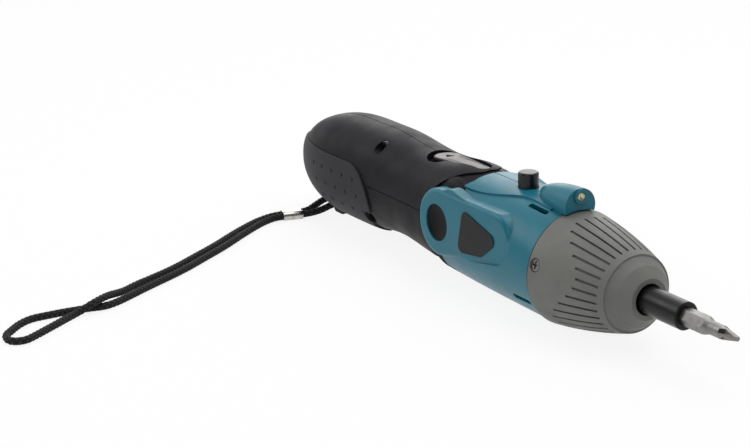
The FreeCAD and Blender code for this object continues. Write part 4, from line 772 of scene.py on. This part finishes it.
# %% Metal finishes
def metal(name, colour, stained, edge_colour, roughness, line_mm, line_depth_mm, squeeze):
    """A bare or plated metal with tool lines squeezed along an axis, stains and rubbed edges."""
    finish, shader, place = new_finish(name)
    worn, _, soft = edges_and_corners(finish, place, 0.15)
    laid = add(finish, "Mapping", {"Vector": place, "Scale": squeeze})
    lines = add(finish, "TexNoise", {
        "Vector": laid, "Scale": every(line_mm), "Detail": 3.0, "Roughness": 0.6})
    stain = add(finish, "TexNoise", {"Vector": place, "Scale": every(4.5), "Detail": 5.0, "Roughness": 0.6})
    tone = add(finish, "MapRange", {"Value": stain, "From Min": 0.42, "From Max": 0.72})
    colours = add(finish, "Mix", {0: tone, 6: linear(colour), 7: linear(stained)}, data_type="RGBA")
    rubbed = add(finish, "Mix", {0: worn, 6: colours, 7: linear(edge_colour)}, data_type="RGBA")
    skin = add(finish, "Bump", {
        "Height": lines, "Distance": line_depth_mm * MM, "Strength": 1.0, "Normal": soft})
    gloss = add(finish, "MapRange", {
        "Value": stain, "From Min": 0.3, "From Max": 0.7,
        "To Min": roughness - 0.05, "To Max": roughness + 0.08})
    fill(finish, shader, {
        "Base Color": rubbed, "Roughness": gloss, "Normal": skin,
        "Metallic": 1.0})
    return finish


NO_LINES = (1, 1, 1)
ALONG_X = (0.06, 1, 1)
ROUND_X = (1, 0.12, 0.12)
METALS = {
    # slot: material, colour, stains, rubbed edges, roughness, width and depth of lines in mm, squeeze
    "bit_steel": ("tool_steel_ground_satin", "#8b8987", "#7b7977", "#b5b3b0", 0.44, 0.5, 0.006, ALONG_X),
    "screw_steel": ("steel_screw_dark_zinc", "#8a8886", "#6a6866", "#b5b3b0", 0.36, 0.4, 0.008, NO_LINES),
    "nickel": ("nickel_plate_bright", "#bfbdb8", "#98958f", "#dddbd6", 0.16, 1.8, 0.020, NO_LINES),
    "washer_steel": ("spring_steel_bright", "#a9a7a3", "#8c8a86", "#a9a7a3", 0.30, 0.4, 0.008, ROUND_X),
    "motor_steel": ("steel_zinc_plated", "#b4b4b0", "#97978f", "#b4b4b0", 0.33, 0.9, 0.010, ROUND_X),
    "gear_steel": ("sintered_steel_oiled", "#7a7875", "#54524f", "#7a7875", 0.42, 0.5, 0.020, NO_LINES),
    "brass": ("brass_turned", "#c09a52", "#9b7a3d", "#c09a52", 0.28, 0.4, 0.008, ROUND_X),
    "cell": ("steel_can_nickel_plated", "#bdbab3", "#a5a29a", "#bdbab3", 0.30, 1.2, 0.010, ALONG_X),
}
for slot, values in METALS.items():
    finishes[slot] = metal(*values)
print("metals:", list(METALS))

# %% [markdown]
# ## Black steel and magnets
# The spindle that holds the bit is steel with a black-oxide skin, oiled, so it has a dark satin
# shine with soft long highlights. Oxide isn't a bare metal any more, so it is made like the
# plastics, as a dark glossy dielectric that is grey where it is rubbed through. The handle's screws
# take it too. The ferrite magnets are a dull dark ceramic.

# %% Dark finishes
finishes["black_steel"] = moulded(
    "steel_black_oxide", "#08080a", worn_colour="#3a3938", corner_dust_and_shade_colour="#121211", roughness=0.28,
    pit_mm=0.5, pit_depth_mm=0.006, edge_mm=0.25, cloud=0.15, specular=0.24)
finishes["magnet"] = moulded(
    "ferrite_ground", "#2b2b2d", worn_colour="#55555a", corner_dust_and_shade_colour="#1c1c1c", roughness=0.50,
    pit_mm=0.6, pit_depth_mm=0.020, edge_mm=0.2, cloud=0.15)
print("dark finishes:", finishes["black_steel"].name, finishes["magnet"].name)

# %% [markdown]
# ## Lamp lens
# The work lamp is a small clear epoxy lamp with a domed end. It bends light, so most of what it
# shows is its inside: full transmission and the index of epoxy do that. Clear epoxy has a little
# haze, which a noise puts into the roughness, and is faintly warm.

# %% Lens finish
def lens_finish():
    """Clear cast epoxy with faint haze."""
    finish, shader, place = new_finish("clear_epoxy_cast")
    haze = add(finish, "TexNoise", {"Vector": place, "Scale": every(1.5), "Detail": 4.0})
    tint = add(finish, "Mix", {0: haze, 6: linear("#fdfcf2"), 7: linear("#f3f0d8")}, data_type="RGBA")
    gloss = add(finish, "MapRange", {"Value": haze, "To Min": 0.02, "To Max": 0.09})
    fill(finish, shader, {
        "Base Color": tint, "Roughness": gloss, "Transmission Weight": 1.0, "IOR": 1.53})
    return finish


finishes["lens"] = lens_finish()
print("lens:", finishes["lens"].name)

# %% [markdown]
# ## Yarn
# The strap's yarn is black polyester: hundreds of filaments side by side, dull across and slightly
# shiny along, with stray fibres that give it a soft rim. The UV map of the cord runs along and round
# it, in metres, so two noises, stretched on either slant, follow the yarns as they wind both ways.
# The height of the plait, kept with the mesh, paints shade into the gaps between yarns.

# %% Yarn finish
FILAMENT_SLANT = math.radians(45)
FILAMENT_STRETCH = (0.15, 1, 1)
FILAMENT_MM = 0.35


def yarn_finish():
    """Black polyester yarn, with its filaments slanting both ways round the cord and painted shade in the
    gaps between yarns.
    """
    finish, shader = new_finish("black_polyester_yarn")[:2]
    chart = add(finish, "UVMap", uv_map="yarn")
    sets = []
    for slant in (FILAMENT_SLANT, -FILAMENT_SLANT):
        laid = add(finish, "Mapping", {
            "Vector": chart, "Rotation": (0, 0, slant), "Scale": FILAMENT_STRETCH})
        noise = add(finish, "TexNoise", {"Vector": laid, "Scale": every(FILAMENT_MM), "Detail": 2.0})
        sets.append(noise)
    filaments = add(finish, "Math", {0: sets[0], 1: sets[1]}, operation="MAXIMUM")
    faded = add(finish, "MapRange", {"Value": filaments, "From Min": 0.4, "From Max": 0.75})
    yarn = add(finish, "Mix", {0: faded, 6: linear("#1c1c1e"), 7: linear("#3a393d")}, data_type="RGBA")
    # painted shade: where the plait is low, in the gaps between yarns, the colour turns near-black
    height = add(finish, "Attribute", attribute_name="plait").outputs["Fac"]
    top = add(finish, "MapRange", {"Value": height, "From Min": 0.35, "From Max": 0.95})
    colour = add(finish, "Mix", {0: top, 6: linear("#050506"), 7: yarn}, data_type="RGBA")
    skin = add(finish, "Bump", {"Height": filaments, "Distance": 0.10 * MM, "Strength": 1.0})
    fill(finish, shader, {
        "Base Color": colour, "Normal": skin, "Roughness": 0.78,
        "Specular IOR Level": 0.25, "Sheen Weight": 0.05, "Sheen Roughness": 0.4})
    return finish


finishes["cord"] = yarn_finish()
for piece in (strap, tie):
    piece.data.materials.append(finishes["cord"])
sleeve.data.materials.append(finishes["nickel"])
print("yarn on:", strap.name, tie.name)

# %% [markdown]
# ## Dressing the CAD nodes
# The record says which finish each node has, so one loop dresses them all. The CAD meshes stay as
# they are: only the material slot of each is filled. The handle's screws sit deep in their holes and
# take the black oxide, whose dark colour is painted shade of the holes.

# %% Dress every node
for part in frame["record"]["subparts"]:
    node = frame["nodes"][part["node"]]
    # painted shade: the handle's screws deep in their holes take the black oxide to look dark
    finish = finishes["black_steel"] if part["node"] == "handle_screws" else finishes[part["material_slot"]]
    node.data.materials.clear()
    node.data.materials.append(finish)

# %% [markdown]
# ## The grips' dimples
# On the real tool the mould's pins leave the dimples in the rubber. A bump in the material would
# only shade like them, so they are pressed into the mesh. A ray cast along Y finds the panel's skin
# at each place, a ball is set there so that it dips in by the depth, and one Boolean takes all the
# balls from a merged copy of the panel. The copy then stands for the CAD node.

# %% Dimpled grips
DIMPLE_DEPTH = 0.35
DIMPLE_HALF_WIDTH = 1.2
BALL_RADIUS = (DIMPLE_HALF_WIDTH ** 2 + DIMPLE_DEPTH ** 2) / (2 * DIMPLE_DEPTH)
RAY_START = 60.0
MERGE_DISTANCE = 0.002
ROWS_EACH_WAY = 6


def dimple_places():
    """Each dimple's x and z in millimetres, inside the panel's oval."""
    places = []
    for row in range(-ROWS_EACH_WAY, ROWS_EACH_WAY + 1):
        for column in range(-ROWS_EACH_WAY, ROWS_EACH_WAY + 1):
            x = DIMPLE_START[0] + column * DIMPLE_STEP - row * DIMPLE_SLANT
            z = DIMPLE_START[1] + row * DIMPLE_ROW
            across = (x - PANEL_MIDDLE[0]) / PANEL_REACH[0]
            up = (z - PANEL_MIDDLE[1]) / PANEL_REACH[1]
            if math.hypot(across, up) < 1:
                places.append((x, z))
    return places


def dimpling_balls(panel, side):
    """One mesh of balls that dip into the panel's outer skin on one side."""
    bpy.ops.object.select_all(action="DESELECT")
    balls = []
    for x, z in dimple_places():
        hit, spot, normal = panel.ray_cast((x * MM, side * RAY_START * MM, z * MM), (0, -side, 0))[:3]
        if hit:
            bpy.ops.mesh.primitive_uv_sphere_add(
                segments=24, ring_count=12, radius=BALL_RADIUS * MM,
                location=spot + normal * (BALL_RADIUS - DIMPLE_DEPTH) * MM)
            balls.append(bpy.context.object)
    for ball in balls:
        ball.select_set(True)
    bpy.ops.object.join()
    return bpy.context.object


def dimpled(node_name, side):
    """A merged copy of a grip panel with its dimples cut."""
    panel = bpy.data.objects.new(node_name + "_dimpled", frame["nodes"][node_name].data.copy())
    scene.collection.objects.link(panel)
    pick(panel)
    bpy.ops.mesh.customdata_custom_splitnormals_clear()
    bpy.ops.object.mode_set(mode="EDIT")
    bpy.ops.mesh.select_all(action="SELECT")
    bpy.ops.mesh.remove_doubles(threshold=MERGE_DISTANCE * MM)
    bpy.ops.object.mode_set(mode="OBJECT")
    balls = dimpling_balls(panel, side)
    cut = panel.modifiers.new("dimples", "BOOLEAN")
    cut.operation = "DIFFERENCE"
    cut.object = balls
    pick(panel)
    bpy.ops.object.modifier_apply(modifier="dimples")
    bpy.ops.object.shade_smooth_by_angle(angle=math.radians(30))
    bpy.data.objects.remove(balls)
    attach(panel, "handle")
    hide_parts(node_name)
    return panel


for node_name, side in (("soft_grip_right", -1), ("soft_grip_left", 1)):
    panel = dimpled(node_name, side)
    print(panel.name, "faces:", len(panel.data.polygons), "dimples:", len(dimple_places()))

# %% [markdown]
# ## The lamp's reflector cup
# Inside the clear lamp sits a tiny bright cup with a dot of yellow phosphor on its floor: that is
# why an unlit white lamp looks yellow from in front. Without it the lens would show only the dark
# bore behind it. A filled disc is inset for the rim and extruded back for the wall, the floor is
# drawn in, and a second inset raised a little makes the dot. A Solidify modifier gives the cup its
# thickness.

# %% Reflector cup
LENS_AXIS_Z = sum(corner.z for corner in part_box("lamp_lens")) / 2
CUP_RIM_X = 53.6 * MM
CUP_RADIUS = 1.35 * MM
CUP_RIM = 0.12 * MM
CUP_DEPTH = 0.9 * MM
CUP_FLOOR_SHARE = 0.62
CUP_THICKNESS = 0.08 * MM
DOT_INSET = 0.10 * MM
DOT_RISE = 0.18 * MM
DOT_TOP_SHARE = 0.75
bpy.ops.object.select_all(action="DESELECT")
bpy.ops.mesh.primitive_circle_add(
    vertices=32, radius=CUP_RADIUS, fill_type="NGON", location=(CUP_RIM_X, 0, LENS_AXIS_Z),
    rotation=(0, math.pi / 2, 0))
cup = bpy.context.object
cup.name = "lamp_reflector_cup"
bpy.ops.object.transform_apply(location=True, rotation=True, scale=True)
bpy.ops.object.mode_set(mode="EDIT")
bpy.ops.mesh.select_mode(type="FACE")
bpy.ops.mesh.select_all(action="SELECT")
for inset, move, share, level_x in (
    (CUP_RIM, -CUP_DEPTH, CUP_FLOOR_SHARE, CUP_RIM_X - CUP_DEPTH),
    (DOT_INSET, DOT_RISE, DOT_TOP_SHARE, CUP_RIM_X - CUP_DEPTH + DOT_RISE),
):
    bpy.ops.mesh.inset(thickness=inset, use_boundary=True)
    bpy.ops.mesh.extrude_region_move(TRANSFORM_OT_translate={"value": (move, 0, 0)})
    bpy.ops.transform.resize(value=(1, share, share), center_override=(level_x, 0, LENS_AXIS_Z))
bpy.ops.object.mode_set(mode="OBJECT")
cup_wall = cup.modifiers.new("cup_wall", "SOLIDIFY")
cup_wall.thickness = CUP_THICKNESS
cup_wall.offset = -1
bpy.ops.object.modifier_apply(modifier="cup_wall")
bpy.ops.object.shade_smooth_by_angle(angle=math.radians(35))
print("cup faces:", len(cup.data.polygons))

# %% [markdown]
# ## The cup's two finishes
# The cup is stamped metal with bright silver plate, and the dot is phosphor powder set in clear
# resin, matt and grainy. They could be two meshes, but they are one stamped piece with a filling, so
# one mesh has two material slots: faces near the axis and near the floor take the phosphor.

# %% Cup and phosphor finishes
PHOSPHOR_REACH = 0.62 * MM
PHOSPHOR_FROM_RIM = 0.5 * MM


def phosphor_finish():
    """Yellow phosphor powder in clear resin, a grainy matt dot."""
    finish, shader, place = new_finish("yellow_phosphor_in_resin")
    grains = add(finish, "TexNoise", {"Vector": place, "Scale": every(0.2), "Detail": 2.0})
    colour = add(finish, "Mix", {0: grains, 6: linear("#e3cf6a"), 7: linear("#f2e9a8")}, data_type="RGBA")
    fill(finish, shader, {"Base Color": colour, "Roughness": 0.55})
    return finish


cup.data.materials.append(metal(
    "silver_plate_bright", "#e6e4de", "#d4d1c6", "#e6e4de", roughness=0.22, line_mm=0.4, line_depth_mm=0.004,
    squeeze=NO_LINES))
cup.data.materials.append(phosphor_finish())
for face in cup.data.polygons:
    off_axis = math.hypot(face.center.y, face.center.z - LENS_AXIS_Z)
    deep = face.center.x < CUP_RIM_X - PHOSPHOR_FROM_RIM
    face.material_index = 1 if deep and off_axis < PHOSPHOR_REACH else 0
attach(cup, "tool_body")
print("phosphor faces:", sum(face.material_index for face in cup.data.polygons))

# %% [markdown]
# ## The rocker's direction mark
# A small dark triangle on the round end of the rocker shows the way it drives. On the real switch
# it is a drop of ink that stands a little proud. A thin three-sided cylinder is narrowed, its edges
# are bevelled so that it catches light as thick ink does, and it is tilted to lie on the sloping top.

# %% Direction mark
MARK_X = -38.8
MARK_RADIUS = 2.6
MARK_THICKNESS = 0.14
MARK_NARROWING = 0.85
MARK_BEVEL = 0.045
ROCKER_MIDDLE_X = -45.75
ROCKER_MIDDLE_TOP = 46.9
ROCKER_RISE = 1.4 / 36
mark_height = ROCKER_MIDDLE_TOP + (MARK_X - ROCKER_MIDDLE_X) * ROCKER_RISE
bpy.ops.object.select_all(action="DESELECT")
bpy.ops.mesh.primitive_cylinder_add(
    vertices=3, radius=MARK_RADIUS * MM, depth=MARK_THICKNESS * MM, location=(0, 0, 0),
    rotation=(0, 0, math.pi / 2))
mark = bpy.context.object
mark.name = "rocker_direction_mark"
bpy.ops.object.transform_apply(location=True, rotation=True, scale=True)
bpy.ops.object.mode_set(mode="EDIT")
bpy.ops.mesh.select_all(action="SELECT")
bpy.ops.transform.resize(value=(1.0, MARK_NARROWING, 1.0))
bpy.ops.mesh.bevel(offset=MARK_BEVEL * MM, segments=2, affect="EDGES")
bpy.ops.object.mode_set(mode="OBJECT")
mark.rotation_euler = (0, -math.atan(ROCKER_RISE), 0)
mark.location = (MARK_X * MM, 0, mark_height * MM)
bpy.ops.object.transform_apply(location=True, rotation=True, scale=True)
bpy.ops.object.shade_smooth_by_angle(angle=math.radians(30))
mark.data.materials.append(moulded(
    "black_ink_matt", "#0b0b0c", worn_colour="#1c1c1c", corner_dust_and_shade_colour="#101010", roughness=0.75,
    pit_mm=0.5, pit_depth_mm=0.010, edge_mm=0.1, specular=0.08))
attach(mark, "rocker")
print("mark box:", in_mm((mark.bound_box[0], mark.bound_box[6])))
